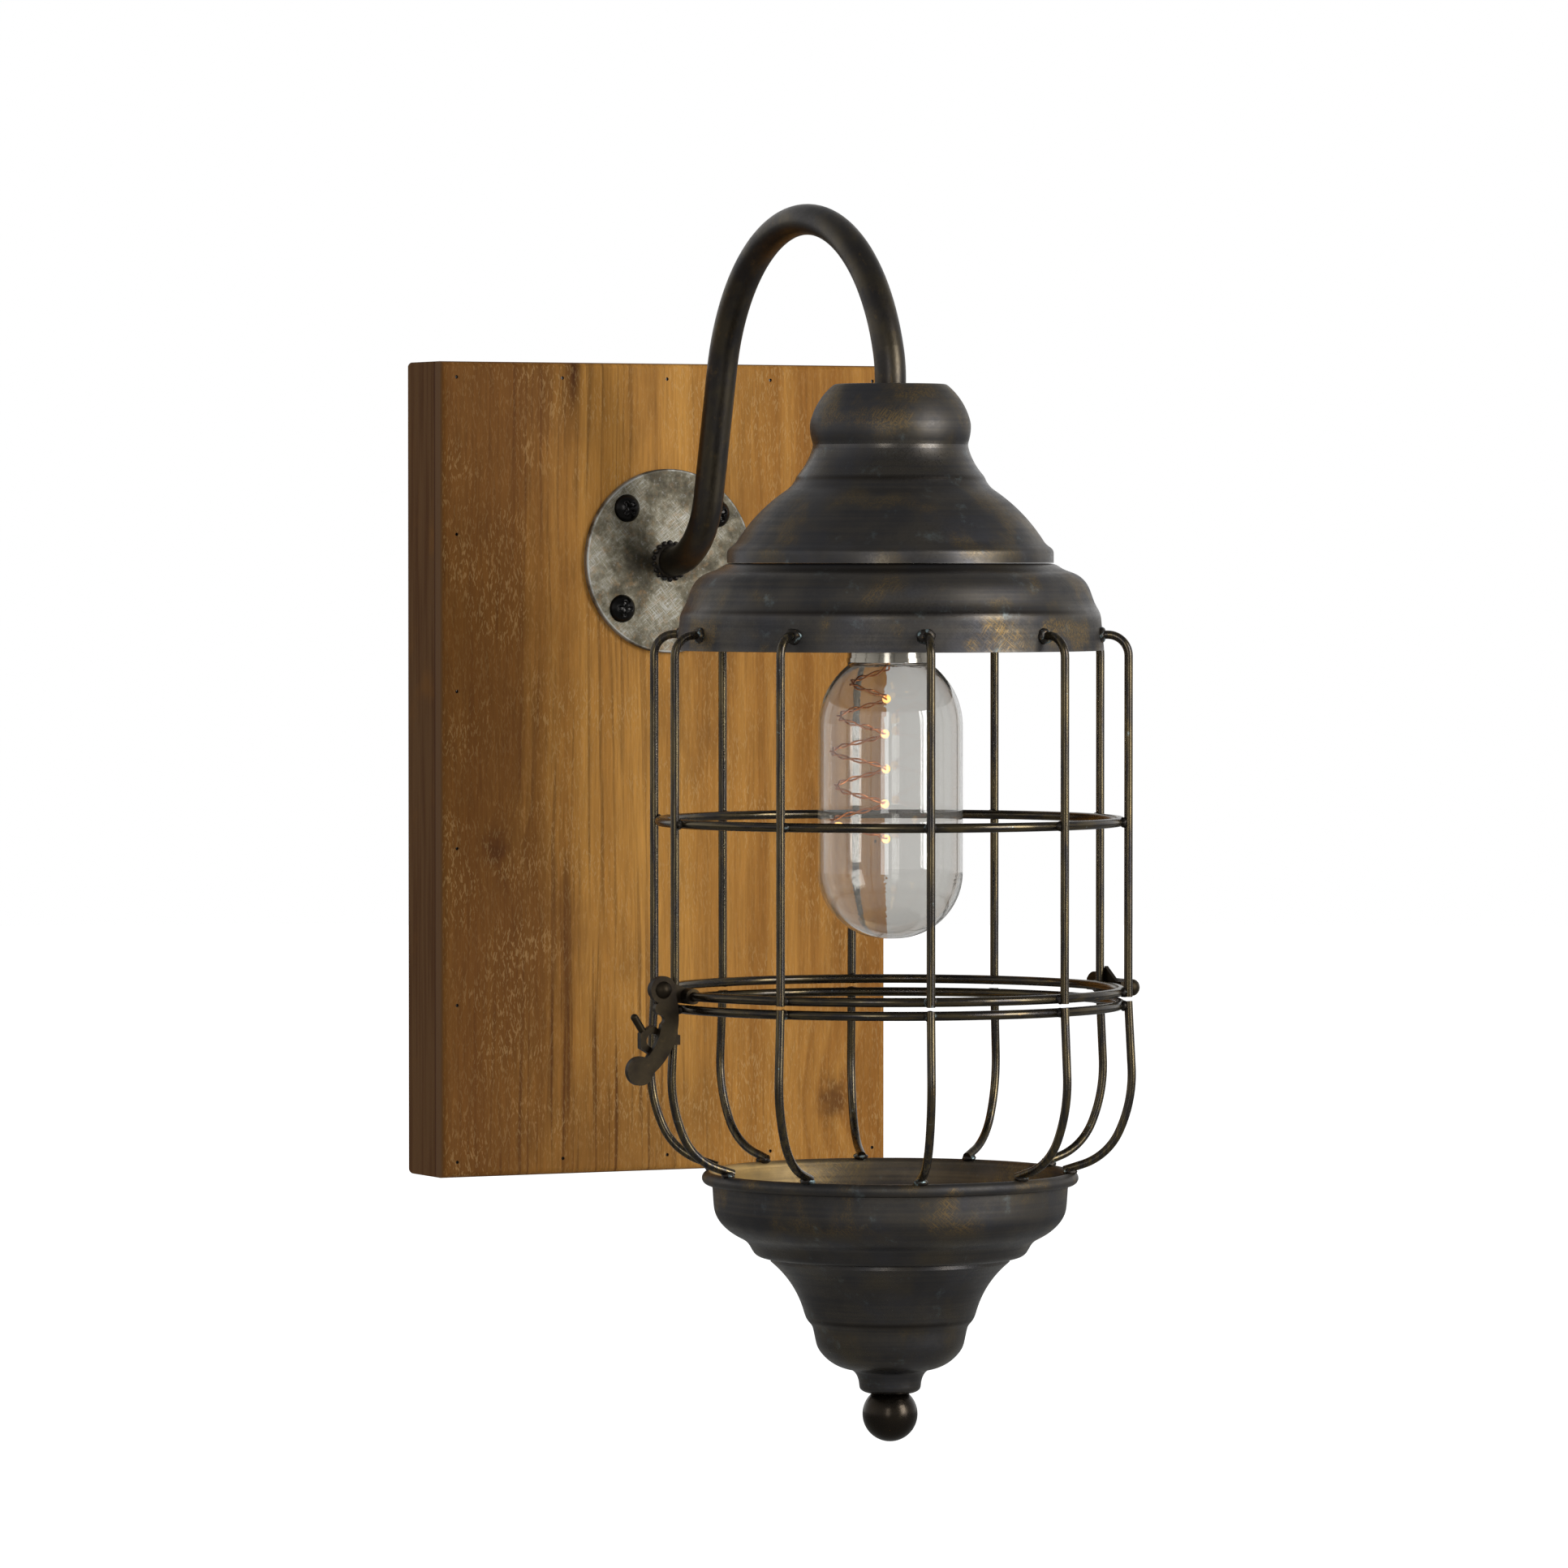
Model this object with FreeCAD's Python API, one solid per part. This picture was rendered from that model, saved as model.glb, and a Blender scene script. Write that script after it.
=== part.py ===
"""Gooseneck wall lantern: a hinged wire cage under a spun hood, hung in front of a wooden backboard.

Millimetres. X points right, Y into the wall and Z up. The origin lies in the wall plane, midway
between the entry holes of the two keyhole hangers. The photographed side faces -Y.
"""
import FreeCAD
import Part
import math
import os

V = FreeCAD.Vector
UP = V(0, 0, 1)
INTO_WALL = V(0, 1, 0)

# Backboard: a front panel nailed to a frame of four rails
BOARD_WIDTH = 158.75
BOARD_HEIGHT = 260.0
PANEL_THICKNESS = 6.0
PANEL_EDGE = 2.0
FRAME_DEPTH = 22.6
RAIL_WIDTH = 22.0
RAIL_BACK_ROUND = 2.5
RAIL_CORNER_ROUND = 5.0
BACKING_HEIGHT = 64.0
BACKING_THICKNESS = 14.0
BRAD_RADIUS = 0.5
BRAD_LENGTH = 20.0
BRAD_SET = 0.6
BRAD_INSET = 5.0
BRADS_ACROSS = 5
BRADS_DOWN = 6

# Keyhole hangers let into the backs of the side rails
HANGER_DROP = 32.0
HANGER_WIDTH = 14.0
HANGER_ABOVE = 24.0
HANGER_BELOW = 15.0
HANGER_THICKNESS = 1.5
KEYHOLE_RADIUS = 4.5
KEYHOLE_SLOT_RADIUS = 2.3
KEYHOLE_RISE = 12.0
HEAD_POCKET_DEPTH = 8.0
HEAD_POCKET_MARGIN = 1.0
HANGER_SCREW_RADIUS = 1.2
HANGER_SCREW_HEAD = 2.4
HANGER_SCREW_LENGTH = 10.0
HANGER_SCREW_END = 3.6

# Wall flange and its four screws
FLANGE_DROP = 63.5
FLANGE_RADIUS = 29.6
FLANGE_THICKNESS = 2.0
FLANGE_EDGE = 0.5
FLANGE_PCD = 45.6
FLANGE_TURN = 3.0
FLANGE_SCREWS = 4
FLANGE_SCREW_RADIUS = 2.0
FLANGE_SCREW_HEAD = 4.5
FLANGE_SCREW_HEAD_HEIGHT = 3.0
FLANGE_SCREW_LENGTH = 18.0

# Gooseneck arm
ARM_DIAMETER = 9.6
ARM_ROOT = 2.625
ARM_RISE = 106.3
ARCH_RADIUS = 59.3
TAIL_BEND = 30.0
LEG_LEAN = 13.5
ROOT_BEND = 26.0
TAIL_ABOVE = 1.5
ARM_TAIL = 14.0
WELD_WIDTH = 1.1
WELD_HEIGHT = 1.5

# Hood: a bell over a skirt, both spun from sheet; heights run down from the flat top
HOOD_RISE = 54.1
SHEET = 1.0
HOOD_TOP_RADIUS = 17.0
CROWN_RADIUS = 24.6
CROWN_HEIGHT = 12.2
NECK_RADIUS = 23.6
NECK_HEIGHT = 6.3
RIDGE_RADIUS = 28.7
RIDGE_HEIGHT = 9.7
COVE_RADIUS = 31.5
COVE_HEIGHT = 4.0
BELL_RADIUS = 47.4
BELL_HEIGHT = 16.6
BELL_BAND_RADIUS = 49.9
BELL_BAND_STEP = 1.8
BELL_BAND_HEIGHT = 4.0
SKIRT_LAP = 4.0
SKIRT_TOP_RADIUS = 55.0
SKIRT_TOP_FALL = 2.6
SKIRT_SHOULDER_RADIUS = 61.2
SKIRT_SHOULDER_HEIGHT = 6.2
SKIRT_WAIST_RADIUS = 62.6
SKIRT_WAIST_HEIGHT = 4.0
RIM_FLARE = 1.1
RIM_STEP_HEIGHT = 2.2
RIM_RADIUS = 65.3
RIM_HEIGHT = 11.5

# Cage: round wires on the outside of three rings
WIRE_COUNT = 10
WIRE_DIAMETER = 2.6
RING_DIAMETER = 2.8
RING_STANDOFF = 5.2
WIRE_SHOULDER = 6.4
WIRE_WELD_HEIGHT = 4.8
MID_RING_DROP = 52.2
DOOR_DROP = 104.0
DOOR_GAP = 1.3

# Hinged basket: the lower wires sweep in to the rolled rim of a cup
BASKET_DEPTH = 53.2
BASKET_LEAN = 3.0
BELLY_RADIUS = 42.0
BELLY_TURN = 28.0
FOOT_RADIUS = 19.0
FOOT_SLOPE = 18.0
FOOT_OVERHANG = 1.0

# Cup: a bowl over a cone, both spun, with a ball below; heights run down from the rim
CUP_RIM_RADIUS = 55.6
CUP_BEAD = 2.0
BOWL_RADIUS = 53.9
BOWL_WALL_HEIGHT = 10.9
BOWL_FOOT_RADIUS = 44.6
BOWL_FOOT_HEIGHT = 7.9
BOWL_BAND_RADIUS = 43.3
BOWL_BAND_HEIGHT = 1.1
BOWL_BASE_RADIUS = 42.2
BOWL_BASE_HEIGHT = 2.5
BOWL_LIP_RADIUS = 38.8
BOWL_LIP_HEIGHT = 2.0
BOWL_MOUTH_RADIUS = 34.0
CONE_TOP_RADIUS = 36.6
CONE_LIP_HEIGHT = 1.1
CONE_COVE_RADIUS = 26.0
CONE_COVE_HEIGHT = 17.0
CONE_STEP_RADIUS = 23.8
CONE_STEP_HEIGHT = 2.7
CONE_WAIST_RADIUS = 22.5
CONE_WAIST_HEIGHT = 6.3
CONE_TAIL_RADIUS = 11.4
CONE_TAIL_HEIGHT = 7.3
COLLAR_RADIUS = 9.5
COLLAR_HEIGHT = 5.6
COLLAR_FLOOR_HEIGHT = 1.4
FINIAL_RADIUS = 8.45
FINIAL_STEM_RADIUS = 2.5
FINIAL_STEM_HEIGHT = 6.0
FINIAL_SEAT_RADIUS = 5.4

# Latch on the left: a bowed lever riveted to a clip on the upper door ring
LATCH_STANDOFF = 6.7
LATCH_RISE = 2.2
LATCH_PLATE = 2.0
LATCH_EYE = 4.2
PADDLE_RADIUS = 4.4
PADDLE_OUT = 7.6
PADDLE_DROP = 24.2
LEVER_OUTER_BOW = 0.33
LEVER_INNER_BOW = 0.47
SPUR_RADIUS = 1.9
SPUR_OUT = 0.9
SPUR_DROP = 5.6
NOTCH_RADIUS = 1.4
NOTCH_OUT = 1.1
NOTCH_DROP = 8.9
RIVET_RADIUS = 1.5
RIVET_HEAD_RADIUS = 2.6
RIVET_TAIL_RADIUS = 2.2
RIVET_HEAD_HEIGHT = 1.5
CLIP_WALL = 1.0
CLIP_LENGTH = 5.5
CLIP_EAR = 1.6
KEEPER_THICKNESS = 2.4
KEEPER_REACH = 9.2
KEEPER_DROP = 9.0
KEEPER_FLATS = 8.0
KEEPER_ARM = 3.0
KEEPER_HOLE = 2.1
HORN_DIAMETER = 2.3
HORN_LENGTH = 6.0
HORN_TILT = 33.0

# Hinge on the right: the basket's leaf turns on a rivet between the ears of the cage's leaf
HINGE_STANDOFF = 5.35
HINGE_DROP = 0.5
HINGE_PIN_RADIUS = 1.3
HINGE_HEAD_RADIUS = 2.4
HINGE_HEAD_HEIGHT = 1.3
HINGE_KNUCKLE = 2.5
HINGE_EAR = 2.4
HINGE_EAR_RADIUS = 2.6
HINGE_LENGTH = 22.0
HINGE_LEAF = 1.2
HINGE_LEAF_BELOW = 1.5
HINGE_LEAF_ABOVE = 1.9
HINGE_ARCH_BOW = 0.5
HINGE_PEAK_RISE = 4.4
HINGE_PEAK_BACK = 1.2
HINGE_PEAK_FRONT = 7.5
HINGE_PEAK_TIP = 0.5
HINGE_STRAP_WIDTH = 8.0
HINGE_STRAP_LENGTH = 3.4

# Battery barrel inside the hood, three cells and the bulb screwed into it from below
WASHER_RADIUS = 12.0
WASHER_THICKNESS = 1.2
STEM_RADIUS = 7.5
STEM_HEIGHT = 13.5
BARREL_RADIUS = 13.0
BARREL_WALL = 0.7
BARREL_CAP = 1.5
BARREL_DROP_PAST_RIM = -3.3
CONTACT_THICKNESS = 1.8
CONTACT_PAD_RADIUS = 2.2
CONTACT_PAD_HEIGHT = 0.9
CELL_RADIUS = 5.25
CELL_LENGTH = 44.5
CELL_COUNT = 3
CELL_NUB_RADIUS = 1.9
CELL_NUB_HEIGHT = 0.8
COLLAR_BAND = 5.6
COLLAR_LIP = 1.3
COLLAR_LIP_OUT = 0.4
SPIGOT_HEIGHT = 6.0
PLUG_THICKNESS = 2.5
PLUG_PEDESTAL_RADIUS = 8.5
GLASS_WALL = 0.9
GLASS_NECK_RADIUS = 11.2
GLASS_NECK_HEIGHT = 7.4
GLASS_RADIUS = 22.2
GLASS_THROAT_RADIUS = 12.7
GLASS_THROAT_DROP = 0.6
GLASS_SHOULDER_HEIGHT = 18.4
GLASS_BODY_HEIGHT = 45.0
GLASS_END_HEIGHT = 20.3
GLASS_PIP = 1.6

# Fairy-light wire wound loosely inside the bulb, with light drops along it
FAIRY_DIAMETER = 0.9
FAIRY_TURNS = 5
FAIRY_PITCH = 10.7
FAIRY_RADIUS = 7.9
FAIRY_SWELL = 0.8
FAIRY_WAVES = 2.5
FAIRY_TAPER = 0.85
FAIRY_OFFSET_X = -8.4
FAIRY_OFFSET_Y = 4.2
FAIRY_LEAD = 8.7
DROP_RADIUS = 1.3
DROP_STRETCH = 1.5
DROP_PHASE = 0.926
LAST_DROP_BACK = 0.45

# Clearances
WELD_GAP = 0.05
SEAT_GAP = 0.10
RUNNING_FIT = 0.05
HOLE_FIT = 0.10
SIDE_GAP = 0.30

# Places worked out from the sizes above
board_top = HANGER_DROP
board_bottom = board_top - BOARD_HEIGHT
board_middle = (board_top + board_bottom) / 2
half_width = BOARD_WIDTH / 2
panel_back = -FRAME_DEPTH
panel_front = panel_back - PANEL_THICKNESS
rail_x = half_width - RAIL_WIDTH / 2
flange_z = board_top - FLANGE_DROP
flange_front = panel_front - FLANGE_THICKNESS
arm_radius = ARM_DIAMETER / 2
leg_lean = math.radians(90 - LEG_LEAN)
arch_fall = ARM_RISE - HOOD_RISE - TAIL_ABOVE
arch_over = math.acos((ARCH_RADIUS - arch_fall) / (ARCH_RADIUS - TAIL_BEND))
leg_rise = ARM_RISE - (ROOT_BEND + ARCH_RADIUS) * (1 - math.cos(leg_lean))
leg_length = leg_rise / math.sin(leg_lean)
arch_out = ARCH_RADIUS * (math.sin(leg_lean) + math.sin(arch_over)) + TAIL_BEND * (1 - math.sin(arch_over))
arm_start = FLANGE_THICKNESS + SEAT_GAP
arm_reach = arm_start + ARM_ROOT + ROOT_BEND * math.sin(leg_lean) + leg_length * math.cos(leg_lean) + arch_out
axis_y = panel_front - arm_reach
wire_radius = WIRE_DIAMETER / 2
ring_wire = RING_DIAMETER / 2
rim_top_radius = RIM_RADIUS - RIM_FLARE
ring_radius = RIM_RADIUS + RING_STANDOFF
wire_circle = ring_radius + ring_wire + wire_radius + WELD_GAP
hood_top = flange_z + HOOD_RISE
crown_z = hood_top - CROWN_HEIGHT
neck_z = crown_z - NECK_HEIGHT
ridge_z = neck_z - RIDGE_HEIGHT
cove_z = ridge_z - COVE_HEIGHT
bell_z = cove_z - BELL_HEIGHT
band_z = bell_z - BELL_BAND_STEP
bell_edge = band_z - BELL_BAND_HEIGHT
skirt_top = bell_edge - SEAT_GAP
skirt_shoulder = skirt_top - SKIRT_TOP_FALL
skirt_waist = skirt_shoulder - SKIRT_SHOULDER_HEIGHT
rim_step = skirt_waist - SKIRT_WAIST_HEIGHT
rim_top = rim_step - RIM_STEP_HEIGHT
hood_rim = rim_top - RIM_HEIGHT
mid_ring_z = hood_rim - MID_RING_DROP
upper_ring_z = hood_rim - DOOR_DROP
lower_ring_z = upper_ring_z - RING_DIAMETER - DOOR_GAP
cup_rim_z = lower_ring_z - BASKET_DEPTH
cell_circle = (CELL_RADIUS + HOLE_FIT) / math.cos(math.radians(30))
wire_step = 360.0 / WIRE_COUNT


def polar(radius, angle, z):
    """Point on a circle about the lantern's axis; angle 0 faces the viewer and 90 points right."""
    turn = math.radians(angle)
    return V(radius * math.sin(turn), axis_y - radius * math.cos(turn), z)


def wire_angles():
    """Angles of the cage wires, placed so that one stands at the latch and one at the hinge."""
    return [wire_step * (index + 0.5) for index in range(WIRE_COUNT)]


def cylinder(radius, length, base, direction=UP):
    return Part.makeCylinder(radius, length, base, direction)


def box_between(low, high):
    return Part.makeBox(high.x - low.x, high.y - low.y, high.z - low.z, low)


def joined(shapes):
    """One clean solid from touching or overlapping shapes."""
    whole = shapes[0].multiFuse(shapes[1:])
    return whole.removeSplitter()


def save(name, shape):
    shape.exportStep("parts/" + name + ".step")


def bowed_edge(start, end, bow):
    """Straight edge, or an arc that bows to the left of its direction in the radius-height plane.

    The bow is the arc's height over half its chord.
    """
    a = V(start[0], 0, start[1])
    b = V(end[0], 0, end[1])
    if bow == 0:
        return Part.LineSegment(a, b).toShape()
    chord = b - a
    left = V(-chord.z, 0, chord.x)
    return Part.Arc(a, (a + b) * 0.5 + left * (bow / 2), b).toShape()


def side_normal(start, end, bow, at_end):
    """Left-hand normal of a bowed edge at one of its ends."""
    heading = math.atan2(end[1] - start[1], end[0] - start[0])
    swing = 2 * math.atan(bow)
    heading += -swing if at_end else swing
    return (-math.sin(heading), math.cos(heading))


def inset(outline, depth):
    """The same outline moved to its right by a depth, with mitred corners."""
    moved = []
    last = len(outline) - 1
    for index, (r, z, bow) in enumerate(outline):
        normals = []
        if index > 0:
            before = outline[index - 1]
            normals.append(side_normal(before, (r, z), before[2], True))
        if index < last:
            normals.append(side_normal((r, z), outline[index + 1], bow, False))
        sum_r = sum(n[0] for n in normals)
        sum_z = sum(n[1] for n in normals)
        spread = 1.0
        if len(normals) == 2:
            spread = 1 + normals[0][0] * normals[1][0] + normals[0][1] * normals[1][1]
        moved.append((r - depth * sum_r / spread, z - depth * sum_z / spread, bow))
    return moved


def outline_edges(outline):
    pairs = zip(outline[:-1], outline[1:])
    return [bowed_edge(a, b, a[2]) for a, b in pairs]


def turned(edges):
    """Solid of revolution about the lantern's axis from a closed outline."""
    face = Part.Face(Part.Wire(Part.__sortEdges__(edges)))
    solid = face.revolve(V(0, 0, 0), UP, 360)
    solid.translate(V(0, axis_y, 0))
    return Part.makeSolid(solid) if solid.ShapeType != "Solid" else solid


def spun_sheet(outline, wall):
    """Sheet of even thickness spun about the axis; the outline is its outer face, top to bottom."""
    inner = inset(outline, wall)
    edges = outline_edges(outline) + outline_edges(inner)
    edges.append(bowed_edge(outline[0], inner[0], 0))
    edges.append(bowed_edge(outline[-1], inner[-1], 0))
    return turned(edges)


def turned_stack(points):
    """Solid of revolution from straight edges through points listed round the outline."""
    closed = points + points[:1]
    return turned([bowed_edge(a, b, 0) for a, b in zip(closed[:-1], closed[1:])])


def bent_path(start, heading, moves):
    """Edges of a rod bent in one plane: runs of a length, and bends of a radius and a turn."""
    place = V(start[0], 0, start[1])
    edges = []
    for radius, amount in moves:
        turn = math.radians(heading)
        ahead = V(math.cos(turn), 0, math.sin(turn))
        if radius is None:
            end = place + ahead * amount
            edges.append(Part.LineSegment(place, end).toShape())
        else:
            side = V(-ahead.z, 0, ahead.x) * (radius if amount > 0 else -radius)
            spread = []
            for share in (0.5, 1.0):
                angle = math.radians(amount * share)
                arm = V(-side.x * math.cos(angle) + side.z * math.sin(angle), 0,
                        -side.x * math.sin(angle) - side.z * math.cos(angle))
                spread.append(place + side + arm)
            edges.append(Part.Arc(place, spread[0], spread[1]).toShape())
            end = spread[1]
            heading += amount
        place = end
    return edges


def rod(edges, diameter):
    """Round bar swept along joined edges."""
    path = Part.Wire(edges)
    start = edges[0].valueAt(edges[0].FirstParameter)
    ahead = edges[0].tangentAt(edges[0].FirstParameter)
    ring = Part.Wire(Part.makeCircle(diameter / 2, start, ahead))
    return path.makePipeShell([ring], True, False)


def spread_round(shape, angle):
    """Moves a shape drawn in the radius-height plane to its angle about the lantern's axis."""
    placed = shape.copy()
    placed.rotate(V(0, 0, 0), UP, angle - 90)
    placed.translate(V(0, axis_y, 0))
    return placed


def plate_across(face, near, thickness):
    """Plate from a face drawn in the X-Z plane; it starts a distance in front of the lantern's axis."""
    plate = face.extrude(V(0, -thickness, 0))
    plate.translate(V(0, axis_y - near, 0))
    return plate


def panel_brads():
    """Headless brads through the panel into the rails, in rows along all four edges."""
    reach_x = half_width - BRAD_INSET
    reach_z = BOARD_HEIGHT / 2 - BRAD_INSET
    spots = []
    for index in range(BRADS_ACROSS):
        x = reach_x * (2 * index / (BRADS_ACROSS - 1) - 1)
        spots += [(x, board_middle + reach_z), (x, board_middle - reach_z)]
    for index in range(1, BRADS_DOWN - 1):
        z = board_middle + reach_z * (2 * index / (BRADS_DOWN - 1) - 1)
        spots += [(-reach_x, z), (reach_x, z)]
    return spots


def brad_shanks(radius, start, length):
    return [cylinder(radius, length, V(x, start, z), INTO_WALL) for x, z in panel_brads()]


def flange_screw_spots():
    """Screw places on the flange, turned a little from square as it was fixed."""
    step = 360.0 / FLANGE_SCREWS
    spots = []
    for index in range(FLANGE_SCREWS):
        turn = math.radians(step * (index + 0.5) + FLANGE_TURN)
        spots.append((FLANGE_PCD / 2 * math.sin(turn), flange_z + FLANGE_PCD / 2 * math.cos(turn)))
    return spots


def screw_shanks(radius):
    return [cylinder(radius, FLANGE_SCREW_LENGTH, V(x, flange_front, z), INTO_WALL)
            for x, z in flange_screw_spots()]


def hanger_screw_spots(x):
    return [(x, HANGER_ABOVE - HANGER_SCREW_END), (x, HANGER_SCREW_END - HANGER_BELOW)]


def hanger_screw(x, z, growth):
    """Countersunk screw, flush with the hanger's back; growth gives the hole that takes it."""
    head = HANGER_SCREW_HEAD + growth
    shank = HANGER_SCREW_RADIUS + growth
    cone = Part.makeCone(head, shank, HANGER_THICKNESS, V(x, 0, z), V(0, -1, 0))
    return cone.fuse(cylinder(shank, HANGER_SCREW_LENGTH + growth, V(x, 0, z), V(0, -1, 0)))


def make_backboard():
    brads = brad_shanks(BRAD_RADIUS + RUNNING_FIT, panel_front, BRAD_SET + BRAD_LENGTH)
    shanks = screw_shanks(FLANGE_SCREW_RADIUS + HOLE_FIT)

    panel = box_between(V(-half_width, panel_front, board_bottom), V(half_width, panel_back, board_top))
    front = [edge for edge in panel.Edges if abs(edge.BoundBox.YMax - panel_front) < SEAT_GAP]
    panel = panel.makeFillet(PANEL_EDGE, front)
    save("front_panel", panel.cut(brads + shanks))

    for name, side in (("left_rail", -1), ("right_rail", 1)):
        x = side * rail_x
        rail = box_between(V(x - RAIL_WIDTH / 2, panel_back, board_bottom),
                           V(x + RAIL_WIDTH / 2, 0, board_top))
        outer = [edge for edge in rail.Edges
                 if abs(edge.BoundBox.YMin) < SEAT_GAP and abs(edge.CenterOfMass.x) > rail_x + SEAT_GAP]
        rail = rail.makeFillet(RAIL_BACK_ROUND, outer).common(worn_outline())
        save(name, rail.cut(brads + [hanger_pocket(x), head_pocket(x)] + hanger_holes(x)))

    inner = half_width - RAIL_WIDTH
    for name, low in (("top_rail", board_top - RAIL_WIDTH), ("bottom_rail", board_bottom)):
        rail = box_between(V(-inner, panel_back, low), V(inner, 0, low + RAIL_WIDTH))
        save(name, rail.common(worn_outline()).cut(brads))

    backing = box_between(V(-inner, panel_back, flange_z - BACKING_HEIGHT / 2),
                          V(inner, panel_back + BACKING_THICKNESS, flange_z + BACKING_HEIGHT / 2))
    top_gap = board_top - RAIL_WIDTH
    below_rail = box_between(V(-inner, panel_back, board_bottom), V(inner, 0, top_gap))
    save("flange_backing", backing.common(below_rail).cut(shanks))

    save("panel_brads", Part.makeCompound(brad_shanks(BRAD_RADIUS, panel_front + BRAD_SET, BRAD_LENGTH)))


def worn_outline():
    """Block as large as the board, with the back's upper and lower edges worn round."""
    block = box_between(V(-half_width, panel_front, board_bottom), V(half_width, 0, board_top))
    back = [edge for edge in block.Edges
            if abs(edge.BoundBox.YMin) < SEAT_GAP and edge.BoundBox.XLength > BOARD_WIDTH / 2]
    return block.makeFillet(RAIL_CORNER_ROUND, back)


def hanger_pocket(x):
    low = V(x - HANGER_WIDTH / 2 - HOLE_FIT, -HANGER_THICKNESS - HOLE_FIT, -HANGER_BELOW - HOLE_FIT)
    high = V(x + HANGER_WIDTH / 2 + HOLE_FIT, SEAT_GAP, HANGER_ABOVE + HOLE_FIT)
    return box_between(low, high)


def head_pocket(x):
    """Room behind the keyhole for the head of the wall screw."""
    half = KEYHOLE_RADIUS + HEAD_POCKET_MARGIN
    low = V(x - half, -HANGER_THICKNESS - HEAD_POCKET_DEPTH, -half)
    high = V(x + half, 0, KEYHOLE_RISE + half)
    return box_between(low, high)


def hanger_holes(x):
    return [hanger_screw(sx, sz, HOLE_FIT) for sx, sz in hanger_screw_spots(x)]


def make_hangers():
    screws = []
    for name, side in (("left_hanger", -1), ("right_hanger", 1)):
        x = side * rail_x
        plate = box_between(V(x - HANGER_WIDTH / 2, -HANGER_THICKNESS, -HANGER_BELOW),
                            V(x + HANGER_WIDTH / 2, 0, HANGER_ABOVE))
        entry = cylinder(KEYHOLE_RADIUS, HANGER_THICKNESS, V(x, 0, 0), V(0, -1, 0))
        slot_end = cylinder(KEYHOLE_SLOT_RADIUS, HANGER_THICKNESS, V(x, 0, KEYHOLE_RISE), V(0, -1, 0))
        slot = box_between(V(x - KEYHOLE_SLOT_RADIUS, -HANGER_THICKNESS, 0),
                           V(x + KEYHOLE_SLOT_RADIUS, 0, KEYHOLE_RISE))
        save(name, plate.cut([entry, slot_end, slot] + hanger_holes(x)))
        screws += [hanger_screw(sx, sz, 0) for sx, sz in hanger_screw_spots(x)]
    save("hanger_screws", Part.makeCompound(screws))


def dome_on(seat, direction, radius, height):
    """Domed head of a screw or rivet standing on its seat."""
    sphere = (radius ** 2 + height ** 2) / (2 * height)
    dome = Part.makeSphere(sphere, seat + direction * (height - sphere))
    return dome.common(cylinder(radius, height, seat, direction))


def make_flange():
    disc = cylinder(FLANGE_RADIUS, FLANGE_THICKNESS, V(0, panel_front, flange_z), V(0, -1, 0))
    rim = [edge for edge in disc.Edges if abs(edge.BoundBox.YMax - flange_front) < SEAT_GAP]
    disc = disc.makeFillet(FLANGE_EDGE, rim)
    save("wall_flange", disc.cut(screw_shanks(FLANGE_SCREW_RADIUS + HOLE_FIT)))

    screws = []
    for (x, z), shank in zip(flange_screw_spots(), screw_shanks(FLANGE_SCREW_RADIUS)):
        seat = V(x, flange_front - SEAT_GAP, z)
        head = dome_on(seat, V(0, -1, 0), FLANGE_SCREW_HEAD, FLANGE_SCREW_HEAD_HEIGHT)
        neck = cylinder(FLANGE_SCREW_RADIUS, SEAT_GAP, seat, INTO_WALL)
        screws.append(joined([head, neck, shank]))
    save("flange_screws", Part.makeCompound(screws))


def make_gooseneck():
    """Arm bent in the upright plane through the lantern: out of the flange, up, over and down."""
    up_heading = 90 - LEG_LEAN
    over_turn = math.degrees(arch_over)
    moves = [(None, ARM_ROOT), (ROOT_BEND, up_heading), (None, leg_length),
             (ARCH_RADIUS, -up_heading - over_turn), (TAIL_BEND, over_turn - 90),
             (None, TAIL_ABOVE + ARM_TAIL)]
    arm = rod(bent_path((arm_start, flange_z), 0, moves), ARM_DIAMETER)
    foot = V(arm_start, 0, flange_z)
    weld = Part.makeCone(arm_radius + WELD_WIDTH, arm_radius, WELD_HEIGHT, foot, V(1, 0, 0))
    arm = joined([arm, weld])
    arm.rotate(V(0, 0, 0), UP, -90)
    arm.translate(V(0, panel_front, 0))
    save("gooseneck_arm", arm)


def make_hood():
    bell_outline = [
        (arm_radius + HOLE_FIT, hood_top, 0),
        (HOOD_TOP_RADIUS, hood_top, 0.18),
        (CROWN_RADIUS, crown_z, 0.10),
        (NECK_RADIUS, neck_z, -0.14),
        (RIDGE_RADIUS, ridge_z, -0.16),
        (COVE_RADIUS, cove_z, 0.11),
        (BELL_RADIUS, bell_z, 0),
        (BELL_BAND_RADIUS, band_z, 0),
        (BELL_BAND_RADIUS, bell_edge, 0),
    ]
    save("hood_bell", spun_sheet(bell_outline, SHEET))

    skirt_outline = [
        (BELL_BAND_RADIUS - SKIRT_LAP, skirt_top, 0),
        (BELL_BAND_RADIUS + SHEET / 2, skirt_top, -0.16),
        (SKIRT_TOP_RADIUS, skirt_shoulder, 0.27),
        (SKIRT_SHOULDER_RADIUS, skirt_waist, 0),
        (SKIRT_WAIST_RADIUS, rim_step, 0),
        (rim_top_radius, rim_top, 0),
        (RIM_RADIUS, hood_rim, 0),
    ]
    save("hood_skirt", spun_sheet(skirt_outline, SHEET))


def rim_radius_at(z):
    """Outer radius of the hood's rim band at a height."""
    share = (rim_top - z) / RIM_HEIGHT
    return rim_top_radius + (RIM_RADIUS - rim_top_radius) * share


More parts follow.
